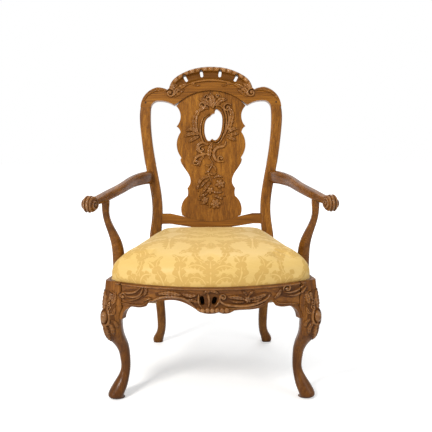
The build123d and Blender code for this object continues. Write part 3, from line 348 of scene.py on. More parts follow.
def wood_finish(name, grain, dark, mid, light, shade_and_dirt=1.0, highlight_and_wear=0.0):
    """Waxed wood. The second last value scales painted shade and dirt in hollows, towards the floor and on
    carved grounds; the last one scales painted highlight and wear on the heights of carving.
    """
    wood = Finish(name)
    place = wood.place()
    figure, streaks, pores = grain_of(wood, place, grain)
    blotch = wood.noise(place, 6.0, 2.0)
    tone = (figure * 0.5 + streaks * 0.5).ramp(0.28, 0.74) * 0.7 + blotch * 0.3
    stops = [(0.0, dark), (0.5, mid), (1.0, light)]
    stain = wood.add("ShaderNodeValToRGB", {"stops": stops}, {"Fac": tone})
    stain = wood.mix(pores * 0.6, stain, deeper(dark, 0.6))
    # painted shade and old wax: an ambient occlusion node darkens the wood in its hollows
    open_sky = wood.add("ShaderNodeAmbientOcclusion", {"samples": 8}, {"Distance": SHADE_AND_WAX_REACH}, out="AO")
    shade_and_wax = (1 - open_sky).ramp(0.2, 0.9) * shade_and_dirt
    stain = wood.mix(shade_and_wax * 0.7, stain, deeper(dark, 0.3))
    # painted shade: the wood is darker towards the floor, below 0.40 m, where the seat shades the legs
    height = wood.add("ShaderNodeSeparateXYZ", None, {"Vector": place}, out="Z")
    stain = wood.mix(height.ramp(0.40, 0.05) * (0.4 * shade_and_dirt), stain, dark)
    coat = (1 - shade_and_wax) * 0.09
    if highlight_and_wear:
        relief = wood.add("ShaderNodeAttribute", {"attribute_name": "relief"}, out="Fac")
        # painted highlight and wear: the high places of carving turn pale
        rubbed_highlight = relief.ramp(0.4, 0.95) * wood.noise(place, 90.0, 3.0).ramp(0.2, 0.8) * highlight_and_wear
        # painted shade and dirt: the low places of carving are darker
        stain = wood.mix(relief.ramp(0.6, 0.05) * (0.6 * shade_and_dirt), stain, deeper(dark, 0.9))
        stain = wood.mix(rubbed_highlight, stain, RUBBED_HIGHLIGHT)
        coat = relief.ramp(0.35, 0.9) * 0.3
    shine = wood.noise(place, 22.0, 4.0)
    wood.surface(
        Base_Color=stain,
        Roughness=0.22 + shine * 0.14 + pores * 0.15 + shade_and_wax * 0.3,
        Coat_Weight=coat,
        Normal=wood.bump(figure * 0.4 + streaks * 0.5 - pores * 0.8, 0.2, 0.0006),
    )
    wood.surface(Coat_Roughness=0.12, Specular_IOR_Level=0.12)
    return wood.material


# how far the painted shade and wax in the hollows reach
print("wax lies in hollows up to", 1000 * SHADE_AND_WAX_REACH, "mm wide")

# %% The woods of this chair
OAK = ((0.070, 0.022, 0.0030), (0.245, 0.089, 0.0095), (0.45, 0.190, 0.024))
BROWN = ((0.046, 0.0135, 0.0022), (0.170, 0.057, 0.0065), (0.32, 0.122, 0.015))
ARM = ((0.054, 0.017, 0.0032), (0.180, 0.064, 0.0085), (0.33, 0.135, 0.022))
PEG = ((0.03, 0.011, 0.004), (0.075, 0.03, 0.009), (0.14, 0.06, 0.02))
BEECH = ((0.30, 0.19, 0.10), (0.46, 0.31, 0.17), (0.57, 0.41, 0.24))


def three_ways(name, *look):
    """One finish for each direction of the grain."""
    return [wood_finish(f"{name}_{axis}", grain, *look) for grain, axis in enumerate("xyz")]


oak_wood = three_ways("waxed_oak", *OAK)
brown_wood = three_ways("brown_oak", *BROWN)
relief_brown = three_ways("carved_brown", *BROWN, 1.0, 0.5)
relief_oak = three_ways("carved_oak", *OAK, 0.7, 0.5)
plain_wood = three_ways("plain_beech", *BEECH, 0.5)
arm_wood = wood_finish("handled_oak", 1, *ARM)
peg_wood = wood_finish("peg_wood", 1, *PEG)
print("woods:", [wood[0].name for wood in (oak_wood, brown_wood, relief_brown, relief_oak, plain_wood)])

# %% [markdown]
# ## Steel
# Screws and tacks are plain wire steel, dulled by handling, with faint turning marks and brown spots.

# %% The steel finish
steel = Finish("dull_steel")
spot = steel.place()
rust = steel.noise(spot, 700.0, 4.0).ramp(0.55, 0.75)
marks = steel.noise(steel.scaled(spot, (1, 1, 9)), 900.0, 2.0)
steel.surface(
    Base_Color=steel.mix(rust, (0.42, 0.41, 0.39), (0.16, 0.085, 0.045)),
    Metallic=1 - rust * 0.8,
    Roughness=0.32 + rust * 0.4 + marks * 0.1,
    Normal=steel.bump(marks, 0.2, 0.0002),
)
print("steel ready")

# %% [markdown]
# ## Dressing the joinery
# Each wooden piece takes the wood whose grain runs along it, as the joiner cut it. A table gives the finish
# by the start of a piece's name. The first match wins, so longer names stand before shorter ones.

# %% Give every wooden and steel piece its finish
FINISHES = {
    "front_leg": brown_wood[2], "rear_leg": oak_wood[2], "splat_rail": oak_wood[0], "splat": oak_wood[2],
    "crest_rail": oak_wood[0], "front_seat_rail": brown_wood[0], "rear_seat_rail": brown_wood[0],
    "side_seat_rail": brown_wood[1], "knee_bracket": brown_wood[2], "arm_support": arm_wood,
    "arm_pegs": peg_wood, "arm": arm_wood, "crest_pegs": peg_wood, "rail_pegs": peg_wood,
    "corner_block": plain_wood[0], "seat_frame_front": plain_wood[0], "seat_frame_back": plain_wood[0],
    "seat_frame": plain_wood[1], "support_screws": steel.material, "block_screws": steel.material,
    "cover_tacks": steel.material,
}
undressed = []
for node in nodes:
    start = next((start for start in FINISHES if node.startswith(start)), None)
    if start is None:
        undressed.append(node)
        continue
    nodes[node].data.materials.clear()
    nodes[node].data.materials.append(FINISHES[start])
print("left for the upholsterer:", undressed)

# %% [markdown]
# ## The carver's pattern
# Rococo carving is low relief: scrolls, leaves and flowers a few millimetres proud of the wood. It could be
# sculpted by hand, but a drawn pattern is easier to read and to change. The pattern is a grid of heights in
# millimetres. Each stroke of the gouge raises the grid along a drawn line, and where strokes cross, the
# higher one wins, as it does in wood.

# %% A field of heights
def drawn(points, step=1.4):
    """A smooth line through a few points, as closely spaced points."""
    p = np.array(points, float)
    p = np.vstack([2 * p[0] - p[1], p, 2 * p[-1] - p[-2]])
    runs = []
    for a, b, c, d in zip(p, p[1:], p[2:], p[3:]):
        t = np.linspace(0, 1, max(2, int(np.hypot(*(c - b)) / step)), endpoint=False)[:, None]
        runs.append(b + 0.5 * t * (c - a + t * (2 * a - 5 * b + 4 * c - d + t * (3 * (b - c) + d - a))))
    return np.vstack(runs + [p[-2:-1]])


class Field:
    """A grid of heights in millimetres; cells below zero are left as plain wood."""

    def __init__(self, low, high, pitch=1.0):
        self.pitch = pitch
        self.low = np.array(low, float)
        across = np.arange(low[0], high[0] + pitch, pitch)
        upward = np.arange(low[1], high[1] + pitch, pitch)
        self.x, self.y = np.meshgrid(across, upward)
        self.height = np.full(self.x.shape, -1.0)

    def window(self, low, high):
        i, j = np.maximum(((low - self.low) / self.pitch).astype(int), 0)
        k, m = np.maximum(((high - self.low) / self.pitch).astype(int) + 2, 1)
        return slice(j, m), slice(i, k)

    def near(self, line, reach):
        """The cells near a line, with their share along it and their signed distance from it."""
        where = self.window(line.min(0) - reach, line.max(0) + reach)
        x, y = self.x[where], self.y[where]
        nearest = ((x[..., None] - line[:, 0]) ** 2 + (y[..., None] - line[:, 1]) ** 2).argmin(-1)
        course = np.gradient(line, axis=0)[nearest]
        dx, dy = x - line[nearest, 0], y - line[nearest, 1]
        side = np.hypot(dx, dy) * np.sign(course[..., 0] * dy - course[..., 1] * dx + 1e-9)
        return where, nearest / (len(line) - 1), side

    def round_spot(self, centre, reach):
        """The cells round a point, with their places measured from it."""
        where = self.window(np.array(centre) - reach, np.array(centre) + reach)
        return where, self.x[where] - centre[0], self.y[where] - centre[1]

    def raise_to(self, where, rise, inside):
        rise = np.where(inside, rise, -1.0)
        self.height[where] = np.maximum(self.height[where], rise)


print("a field finds the cells near a line or a point")

# %% Strokes along a line
class Strokes(Field):
    """Mouldings, leaves and sunk grounds, each drawn along a line."""

    def ridge(self, points, width, height, ends=(0.4, 0.4), groove=0.0, scallops=0):
        """A rounded moulding, thinner at its ends."""
        where, share, side = self.near(drawn(points), width)
        half = width / 2 * np.interp(share, [0, 0.3, 0.7, 1], [ends[0], 1, 1, ends[1]])
        across = np.abs(side) / half
        rise = height * np.sqrt(np.clip(1 - across**2, 0, 1)) * (2 * half / width) ** 0.5
        rise *= 1 - groove * np.exp(-((across / 0.35) ** 2))
        if scallops:
            rise *= 0.12 + 0.88 * np.abs(np.sin(np.pi * scallops * share)) ** 0.6
        self.raise_to(where, rise, across < 1)

    def leaf(self, points, width, height, lobes=4):
        """An acanthus leaf: a lobed outline, flutes to the lobes and a sunk middle vein."""
        where, share, side = self.near(drawn(points), width)
        half = width / 2 * np.sin(np.pi * np.clip(0.94 * share + 0.05, 0, 1)) ** 0.6
        half *= 0.7 + 0.3 * np.abs(np.cos(np.pi * lobes * share - 1.2 * np.abs(side) / width))
        across = np.abs(side) / (half + 1e-6)
        flutes = 0.5 + 0.5 * np.cos(2 * np.pi * (lobes * share - 2.4 * np.abs(side) / width))
        rise = height * (1 - np.clip(across, 0, 1) ** 2.6) ** 0.7 * (0.7 + 0.3 * flutes)
        rise *= 1 - 0.55 * np.exp(-((side / (0.08 * width)) ** 2))
        self.raise_to(where, rise + 0.3, across < 1)

    def ground(self, points, width, height=0.35):
        """A low level patch: the sunk ground between strokes, which the carved finish darkens as dirt and
        painted shade.
        """
        where, share, side = self.near(drawn(points), width)
        half = width / 2 * np.sin(np.pi * np.clip(0.9 * share + 0.05, 0, 1)) ** 0.4
        self.raise_to(where, np.full(side.shape, height), np.abs(side) < half)


print("strokes: ridge, leaf, ground")

# %% Motifs round a point
class Pattern(Strokes):
    """A carver's pattern: strokes, and beads, volutes and flowers drawn round a point."""

    def boss(self, centre, wide, tall, height):
        """An oval bead."""
        where, x, y = self.round_spot(centre, max(wide, tall))
        far = (x / wide) ** 2 + (y / tall) ** 2
        self.raise_to(where, height * np.sqrt(np.clip(1 - far, 0, 1)), far < 1)

    def curl(self, centre, radius, start, turns, width, height):
        """A volute: a ridge that winds in to an eye. Negative turns wind the other way."""
        t = np.linspace(0, 1, 14)
        angle = math.radians(start) + 2 * math.pi * turns * t
        r = radius * (1 - t) ** 0.85 + 0.12 * radius
        winding = np.stack([centre[0] + r * np.cos(angle), centre[1] + r * np.sin(angle)], -1)
        self.ridge(winding, width, height, (0.7, 0.6), 0.2)
        self.boss(centre, 0.26 * radius + 1.2, 0.26 * radius + 1.2, height)

    def flower(self, centre, radius, petals, height, turn):
        """An open flower: cupped outer petals, a shorter inner row between them and a round middle."""
        where, x, y = self.round_spot(centre, radius)
        far = np.hypot(x, y) / radius
        swing = 0.5 * petals * (np.arctan2(y, x) - turn)
        outer = np.abs(np.cos(swing))
        edge = 0.66 + 0.34 * outer**0.5
        cup = np.clip(1 - (far / edge) ** 3, 0, 1) ** 0.5 * (0.35 + 0.65 * outer**0.6)
        self.raise_to(where, height * cup * (0.55 + 0.45 * np.clip(far / 0.6, 0, 1)), far < edge)
        inner = np.abs(np.cos(swing + 0.5 * np.pi))
        edge = 0.4 + 0.2 * inner**0.5
        cup = np.clip(1 - (far / edge) ** 4, 0, 1) ** 0.5 * (0.6 + 0.4 * inner)
        self.raise_to(where, 1.2 * height * cup, far < edge)
        self.boss(centre, 0.18 * radius, 0.18 * radius, 1.25 * height)


def each(stroke, *rows):
    """The same stroke several times, with its values in rows."""
    for row in rows:
        stroke(*row)


print("motifs: boss, curl, flower")

# %% [markdown]
# ## From pattern to wood
# A finished pattern is laid against the chair. A ray from each raised cell finds the wood behind it, so the
# carving follows bowed, raked and rounded faces alike and stops where the wood stops. Close to an edge of
# the wood the relief is drawn down to the surface, which is how a carver grounds it.

# %% Rays
ACROSS = np.array([1.0, 0, 0])
FORWARD = np.array([0, -1.0, 0])
UP = np.array([0, 0, 1.0])


def flat_rays(pattern, middle, across, upward, outward, away):
    """Parallel rays from some metres away, for a pattern drawn on a flat board."""
    board = pattern.x[..., None] * across + pattern.y[..., None] * upward
    origin = middle + away * outward + board / 1000
    return origin, np.broadcast_to(-outward, origin.shape)


def round_rays(turn, run, middle, axis, ahead, aside, away):
    """Rays that close in on an axis, by a turn in radians and a run along the axis in millimetres."""
    course = -(np.cos(turn)[..., None] * ahead + np.sin(turn)[..., None] * aside)
    return middle + run[..., None] * axis / 1000 - away * course, course


def surface_of(*names):
    """The joined faces of some pieces, for ray casting."""
    points, faces = [], []
    for name in names:
        mesh = nodes[name].data
        faces += [[i + len(points) for i in face.vertices] for face in mesh.polygons]
        points += [vertex.co.copy() for vertex in mesh.vertices]
    return BVHTree.FromPolygons(points, faces)


print("rays can be flat or round")

# %% Where the rays meet the wood
REACH = 0.12
GRAZING = -0.15


def soften(field, rounds):
    """Each cell averaged with its neighbours."""
    for _ in range(rounds):
        padded = np.pad(field, 1, mode="edge")
        field = (padded[:-2, 1:-1] + padded[2:, 1:-1] + padded[1:-1, :-2] + padded[1:-1, 2:] + 4 * field) / 8
    return field


def cast(pattern, wood, origin, course):
    """Metres to the wood for each raised cell and its neighbours; REACH where a ray misses it."""
    far = np.full(pattern.x.shape, REACH)
    wanted = soften((pattern.height > 0).astype(float), 2) > 0
    for i, j in zip(*np.nonzero(wanted)):
        ray = Vector(course[i, j])
        _, normal, _, length = wood.ray_cast(Vector(origin[i, j]), ray, REACH)
        if normal is not None and normal.dot(ray) < GRAZING:
            far[i, j] = length
    return far


def bridged(far, rows):
    """Distances to the wood with notches up to some rows high filled in, as a carver's leaf would."""
    for pick in (np.min, np.max):
        padded = np.pad(far, ((rows, rows), (0, 0)), mode="edge")
        far = pick(np.lib.stride_tricks.sliding_window_view(padded, 2 * rows + 1, axis=0), axis=-1)
    return soften(far, 6)


def grounded(hit, steps=3):
    """A quarter at the edge of the wood, 1 a few cells inside it."""
    depth, inner = np.zeros(hit.shape), hit
    for _ in range(steps):
        inner = soften(inner.astype(float), 1) > 0.999
        depth += inner
    return np.clip(depth / steps + 0.25, 0, 1)


print("rays reach", 1000 * REACH, "mm")

# %% Lay a pattern on the wood
BOLD = 1.45
SUNK = -0.8


def net_faces(rows, columns):
    """The four-sided faces of a net of points, row by row."""
    i, j = np.meshgrid(np.arange(rows), np.arange(columns), indexing="ij")
    first = (i * (columns + 1) + j).ravel()
    return np.stack([first, first + 1, first + columns + 2, first + columns + 1], -1)


def lay_carving(name, pattern, wood, rays, material, bridge=0):
    """Casts the raised cells onto the wood and makes one relief mesh of them."""
    origin, course = rays
    raised = pattern.height > 0
    far = cast(pattern, wood, origin, course)
    hit = far < REACH
    if bridge:
        far = np.minimum(far, bridged(far, bridge))
    height = np.where(raised, BOLD * pattern.height * grounded(hit), SUNK)
    points = origin + course * far[..., None] - course * height[..., None] / 1000
    quads = net_faces(raised.shape[0] - 1, raised.shape[1] - 1)
    quads = quads[hit.ravel()[quads].all(1) & raised.ravel()[quads].any(1)]
    used, renumbered = np.unique(quads, return_inverse=True)
    verts = points.reshape(-1, 3)[used]
    faces = renumbered.reshape(-1, 4)
    a, b, c = (verts[faces[:, k]] for k in range(3))
    facing = (np.cross(b - a, c - a) * course.reshape(-1, 3)[used][faces[:, 0]]).sum()
    piece = new_mesh(name, verts, faces if facing < 0 else faces[:, ::-1])
    relief = piece.data.attributes.new("relief", "FLOAT", "POINT")
    peak = BOLD * np.percentile(pattern.height[raised], 96)
    relief.data.foreach_set("value", np.clip(height.ravel()[used] / peak, 0, 1))
    piece.data.materials.append(material)
    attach(piece, "chair_frame")
    print(name, "faces:", len(faces), "highest:", round(BOLD * float(pattern.height.max()), 1), "mm")


# %% [markdown]
# ## The splat
# The splat is the show piece. Its pierced cartouche is framed by a bead that repeats the opening's leaf
# tips, flanked by slim scrolls, crowned by a leaf spray and carried on two C scrolls. A stem hangs below
# them and opens into a bunch of flowers. All of it is drawn on the splat's own face, in millimetres from
# the middle of the back and up its slope from the seat rails.

# %% The cartouche and its frame
OPENING_MIDDLE = (9.0, 461.0)
OPENING_HALF = (33.5, 59.0)
splat = Pattern((-105, 140), (105, 585), 1.2)


def cartouche(margin):
    """The opening's outline, grown by a margin: its right side, then its left."""
    right = [(0.15, 0.74), (0.36, 1.0), (0.8, 0.8), (1.0, 0.3), (0.9, -0.3), (0.6, -0.76), (0.22, -0.96),
             (-0.15, -0.86)]
    left = [(-0.15, -0.86), (-0.58, -1.0), (-0.92, -0.66), (-1.0, -0.16), (-0.81, 0.33), (-0.33, 0.56)]
    return [np.array(OPENING_MIDDLE) + np.array(side) * (np.array(OPENING_HALF) + margin)
            for side in (right, left)]


for side in cartouche(6.0):
    splat.ridge(side, 7.5, 3.0, (0.6, 0.6))
for side in cartouche(15.0):
    splat.ridge(side, 8.0, 5.0, (0.5, 0.5), 0.3)
# ruffled bands beside it
each(splat.leaf,
     ([(-26, 530), (-48, 510), (-62, 480), (-60, 452), (-46, 428)], 24, 5.5, 7),
     ([(62, 530), (78, 508), (76, 480), (70, 456), (70, 432)], 24, 5.5, 7))
each(splat.ridge,
     ([(-34, 526), (-50, 500), (-54, 470), (-50, 440), (-38, 416)], 7, 5.5, (0.5, 0.4)),
     ([(58, 522), (66, 496), (66, 470), (60, 444), (50, 420)], 7, 5.5, (0.5, 0.4)))
each(splat.curl, ((-34, 534), 13, 290, 1.2, 7, 6.5), ((62, 526), 15, 30, 1.4, 7, 6.5))
# leaf spray over it
each(splat.leaf,
     ([(8, 528), (6, 552), (-2, 580)], 32, 7.0, 4), ([(-2, 532), (-20, 550), (-44, 558)], 24, 6.0, 4),
     ([(16, 534), (36, 554), (60, 556)], 24, 6.0, 4), ([(-10, 524), (-24, 526), (-42, 512)], 18, 5.5, 3))
each(splat.curl, ((-15, 566), 9, 200, -1.1, 5.5, 5.5), ((26, 568), 9, -20, 1.1, 5.5, 5.5))
print("cells raised round the cartouche:", int((splat.height > 0).sum()))

# %% Side sprays and C scrolls
for spray in (
    [(-48, 432), (-70, 446), (-94, 440)], [(-48, 426), (-74, 428), (-100, 418)],
    [(-46, 418), (-66, 410), (-84, 396)], [(64, 432), (82, 446), (100, 446)],
    [(64, 424), (84, 426), (104, 430)], [(60, 416), (78, 410), (94, 402)],
):
    splat.leaf(spray, 18, 6.0, 3)
LONG_SCROLL = [(56, 400), (48, 382), (26, 378), (11, 362), (11, 342), (24, 326), (46, 324)]
each(splat.ridge, (LONG_SCROLL, 13, 6.5, (0.5, 0.5), 0.2),
     ([(-14, 390), (-34, 396), (-50, 384), (-47, 364), (-30, 356)], 13, 6.5, (0.5, 0.5), 0.2),
     ([(-12, 354), (-34, 350), (-56, 340), (-66, 318)], 13, 6, (0.5, 0.4), 0.2))
each(splat.curl, ((-34, 372), 11, 60, 1.2, 6, 6), ((36, 336), 12, -60, -1.2, 6, 6),
     ((-56, 322), 11, 160, 1.1, 6, 6))
each(splat.leaf, ([(2, 392), (-6, 366), (-8, 334)], 24, 6, 4),
     ([(-28, 344), (-42, 328), (-44, 306)], 16, 5, 3))
print("cells raised with the scrolls:", int((splat.height > 0).sum()))

# %% Hanging stem and flower bunch
splat.ridge([(-8, 340), (4, 318), (-2, 300), (-12, 284), (-4, 262), (2, 240)], 6, 4.5, (0.8, 0.5))
for points in ([(2, 316), (-10, 308), (-24, 312)], [(2, 312), (14, 302), (18, 286)],
               [(-6, 296), (-18, 288), (-24, 276)], [(-8, 280), (6, 276), (20, 282)]):
    splat.leaf(points, 11, 4.5, 3)
for points, width in (
    ([(-10, 268), (-34, 260), (-50, 236), (-50, 212)], 15), ([(-8, 258), (-28, 244), (-42, 224)], 13),
    ([(-4, 246), (-20, 226), (-34, 204)], 13), ([(8, 262), (24, 270), (44, 266)], 12),
    ([(4, 214), (20, 208), (44, 212)], 12), ([(-14, 206), (-30, 198), (-46, 196)], 12),
    ([(6, 196), (26, 192), (42, 182)], 12), ([(-12, 190), (-22, 172), (-40, 164)], 12),
):
    splat.leaf(points, width, 5.5, 4)
each(splat.flower, ((33, 241), 20, 6, 7.0, 0.3), ((16, 166), 21, 6, 6.5, 0.1),
     ((-24, 180), 14, 5, 6.0, 0.5), ((-4, 216), 15, 5, 6.5, 0.9))
for bud in ((-14, 164), (-6, 154), (36, 188), (48, 196), (-44, 182)):
    splat.boss(bud, 4.5, 4.5, 4.5)
print("cells raised in all:", int((splat.height > 0).sum()))

# %% The splat's carving
BACK_FOOT = metres(0.0, SEAT_DEPTH, RAIL_TOP)
UP_THE_BACK = np.array([0, math.sin(BACK_RAKE), math.cos(BACK_RAKE)])
TO_THE_SITTER = np.array([0, -math.cos(BACK_RAKE), math.sin(BACK_RAKE)])
BACK_AWAY = 0.045


def back_rays(pattern):
    """Rays for a pattern on the raked back, from where the sitter leans."""
    return flat_rays(pattern, BACK_FOOT, ACROSS, UP_THE_BACK, TO_THE_SITTER, BACK_AWAY)


lay_carving("splat_carving", splat, surface_of("splat"), back_rays(splat), relief_oak[2])

# %% [markdown]
# ## The crest
# The crest's gallery is a gouged hollow under a scalloped lip. A moulding closes it below, leaf volutes
# close it at the ends, and a leaf edge runs over each shoulder.

# %% The crest's carving
GALLERY_MIDDLE = 588.0
GALLERY_HALF = (158.0, 90.0)
crest = Pattern((-262, 528), (262, 684), 1.3)


def gallery(inset, first, last, count=15):
    """Points along the gallery's ellipse, moved in from its edge."""
    angle = np.radians(np.linspace(first, last, count))
    wide, tall = (half - inset for half in GALLERY_HALF)
    return np.stack([wide * np.cos(angle), GALLERY_MIDDLE + tall * np.sin(angle)], -1)


# a low patch in the gallery's cove, which the finish darkens as painted shade and dirt
crest.ground(gallery(30.0, 8, 172), 40)
crest.ridge(gallery(8.0, 6, 174), 19, 6.5, (0.8, 0.8), 0.0, 15)
crest.ridge(gallery(51.0, 18, 162), 10, 4.0, (0.5, 0.5))
SHOULDER = [(164, 590), (180, 594), (202, 594), (225, 586), (242, 570), (250, 552)]
for hand in (-1, 1):
    crest.curl((hand * 151, 580), 16, 90 - hand * 60, hand * 1.5, 8, 6.5)
    crest.curl((hand * 66, 616), 7, 90, -hand * 1.1, 4.5, 4)
    for points, width, height, lobes in (
        ([(140, 570), (128, 590), (108, 606), (84, 616)], 24, 5.5, 5), (SHOULDER, 20, 4.0, 6),
        ([(146, 592), (134, 606), (120, 616)], 15, 5.5, 3), ([(134, 566), (116, 580), (98, 594)], 13, 4, 3),
        ([(62, 612), (50, 607), (38, 610)], 9, 3, 2),
    ):
        crest.leaf([(hand * x, up) for x, up in points], width, height, lobes)
lay_carving("crest_carving", crest, surface_of("crest_rail"), back_rays(crest), relief_oak[0])

# %% [markdown]
# ## The front rail
# The rail's apron is one-sided on purpose: a plain arch moulding with a ruffled leaf on one hand, a full C
# scroll with a flower on the other, and a shell pendant between them under two piercings. The pattern is
# drawn in millimetres from the middle of the rail and from the floor.

# %% Ground, left side and pendant of the apron
rail = Pattern((-318, 306), (318, 392), 1.2)
each(rail.ground, ([(-158, 366), (-100, 370), (-40, 366)], 24), ([(34, 356), (100, 352), (172, 362)], 34),
     ([(-40, 344), (0, 348), (34, 342)], 56), ([(-268, 352), (-230, 356), (-196, 366)], 40),
     ([(206, 366), (240, 362), (284, 366)], 34))
rail.ridge([(-282, 386), (0, 386), (282, 386)], 8, 3.4, (1, 1))
# arch moulding and ruffled leaf
ARCH = [(-176, 337), (-162, 350), (-138, 359), (-108, 361), (-80, 358), (-60, 346), (-44, 329)]
rail.ridge(ARCH, 9, 5.5, (0.7, 0.6))
rail.curl((-174, 338), 8, 40, 1.0, 5, 5)
each(rail.leaf, ([(-150, 369), (-118, 372), (-84, 368)], 15, 5.5, 7),
     ([(-80, 370), (-58, 366), (-38, 370)], 13, 4.5, 4), ([(-66, 354), (-50, 352), (-34, 344)], 12, 4.5, 3))
# scrolls of the left corner
each(rail.ridge,
     ([(-266, 362), (-242, 362), (-222, 368), (-207, 381)], 7, 4.5, (0.4, 0.6), 0.2),
     ([(-254, 351), (-228, 351), (-209, 360), (-199, 379)], 7, 4.5, (0.4, 0.6), 0.2),
     ([(-258, 339), (-236, 341), (-215, 349), (-196, 364)], 6, 3.5, (0.4, 0.4)),
     ([(-268, 330), (-240, 327), (-204, 329), (-186, 341)], 6, 3.5, (0.6, 0.6)))
rail.curl((-262, 350), 9, 0, 1.2, 5, 4.5)
each(rail.leaf, ([(-196, 360), (-190, 370), (-186, 382)], 11, 4.5, 3),
     ([(-198, 342), (-186, 350), (-172, 352)], 11, 4, 3))
# shell pendant and the frames of the two piercings
each(rail.ridge, ([(-34, 370), (-34, 348), (-26, 332)], 7, 5, (0.6, 0.6)),
     ([(-8, 374), (-4, 352), (-6, 334)], 8, 5, (0.5, 0.5)),
     ([(28, 368), (24, 350), (12, 334)], 7, 5, (0.6, 0.6)))
for i, x in enumerate((-36, -23, -9, 5, 19, 33, 47)):
    rail.boss((x, 323 - i % 2), 7.5, 8.5, 5.0)
each(rail.leaf, ([(-20, 372), (-14, 378), (2, 380)], 10, 4, 3), ([(0, 380), (14, 378), (26, 372)], 10, 4, 3))
print("cells raised on the left and in the middle:", int((rail.height > 0).sum()))

# %% Right side of the apron
C_SCROLL = [(30, 366), (28, 352), (42, 341), (72, 335), (106, 334), (140, 340), (164, 351), (174, 362)]
rail.ridge(C_SCROLL, 9, 5.5, (0.6, 0.5), 0.2)
rail.ridge([(54, 328), (96, 326), (138, 331), (160, 340)], 6, 4, (0.6, 0.5))
rail.flower((108, 353), 11, 6, 5.5, 0.2)
each(rail.leaf,
     ([(98, 354), (76, 360), (50, 362)], 15, 5, 5), ([(118, 354), (140, 358), (166, 366)], 15, 5, 5),
     ([(96, 346), (78, 346), (58, 350)], 9, 4, 4), ([(120, 346), (136, 347), (152, 354)], 9, 4, 4),
     ([(104, 364), (100, 372), (90, 378)], 9, 4, 2), ([(112, 364), (118, 372), (128, 377)], 9, 4, 2))
# scrolls of the right corner
each(rail.curl, ((36, 362), 9, 180, -1.2, 5, 5), ((226, 376), 11, 200, -1.3, 6, 5))
each(rail.ridge,
     ([(216, 366), (236, 362), (262, 368), (278, 380)], 7, 4.5, (0.5, 0.5), 0.2),
     ([(226, 355), (250, 352), (272, 360), (286, 374)], 7, 4.5, (0.4, 0.5), 0.2),
     ([(186, 346), (202, 333), (236, 329), (262, 322)], 6, 3.5, (0.6, 0.6)))
rail.leaf([(188, 352), (200, 362), (208, 378)], 12, 4.5, 4)
# leaves at both legs
for hand in (-1, 1):
    rail.leaf([(hand * 292, 322), (hand * 288, 340), (hand * 284, 358)], 20, 4.5, 4)
    rail.curl((hand * 296, 350), 9, 90, hand * 1.2, 5, 4)
print("cells raised in all:", int((rail.height > 0).sum()))

# %% The front rail's carving
RAIL_AWAY = 0.05
bow_course = np.stack([-rail.x, np.sqrt(BOW_RADIUS**2 - rail.x**2), 0 * rail.x], -1) / BOW_RADIUS
bow_rays = (metres(rail.x, bow_y(rail.x), rail.y) - RAIL_AWAY * bow_course, bow_course)
front_wood = surface_of("front_seat_rail", "front_leg_left", "front_leg_right")
lay_carving("rail_carving", rail, front_wood, bow_rays, relief_brown[0])

# %% [markdown]
# ## A slip behind the piercings
# The two piercings of the apron look dark: a thin slip of wood behind them stands in for the shade inside
# the seat, so the floor does not show through. It is bent to the bow of the rail, and its edges are eased so
# that it is pleasant to touch from below.

# %% The slip
SLIP_HALF_LONG = 52.0
SLIP_HALF_TALL = 16.5
SLIP_HALF_THICK = 1.7
SLIP_MIDDLE = 352.0
GLUE_LINE = 0.2
ROUND, STATIONS = 12, 25
PROBE = (70.0, 120.0, 345.0)


def eased(wave):
    """A wave with flattened crests: round a section it gives flat faces with eased edges."""
    return np.sign(wave) * np.abs(wave) ** 0.3


rail_back = surface_of("front_seat_rail").ray_cast(Vector(metres(*PROBE)), Vector(FORWARD))[0]
inner = math.hypot(PROBE[0], BOW_CENTRE - (1000 * rail_back.y + MIDDLE_Y))
around = np.linspace(0, 2 * np.pi, ROUND + 1)[:-1]
slip_points = []
for t in np.linspace(-1, 1, STATIONS):
    full = 1 - 0.25 * max(0, abs(t) - 0.9) / 0.1
    swing = SLIP_HALF_LONG * t / inner
    radius = inner - GLUE_LINE - SLIP_HALF_THICK + SLIP_HALF_THICK * eased(np.cos(around)) * full
    upright = SLIP_MIDDLE + SLIP_HALF_TALL * eased(np.sin(around)) * full
    slip_points.append(metres(radius * np.sin(swing), BOW_CENTRE - radius * np.cos(swing), upright))
slip_faces = [tuple(range(ROUND))[::-1], tuple(range(ROUND * (STATIONS - 1), ROUND * STATIONS))]
for base in range(0, ROUND * (STATIONS - 1), ROUND):
    for j in range(ROUND):
        k = (j + 1) % ROUND
        slip_faces.append((base + j, base + k, base + ROUND + k, base + ROUND + j))
# the slip stands in for the shade behind the apron's piercings
slip = new_mesh("apron_shade_slip", np.vstack(slip_points), slip_faces)
slip.data.materials.append(brown_wood[0])
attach(slip, "chair_frame")
print("slip behind the apron, bend radius", round(inner), "mm")

# %% [markdown]
# ## The knees
# Each front knee carries an oval cabochon in a frame of scrolls, with a leaf running down the leg. The knee
# is rounded and turned outwards, so the pattern is cast aslant. Above it a leafed collar is cast from all
# round the corner. It bridges the notch between the square top of the leg and the round knee.

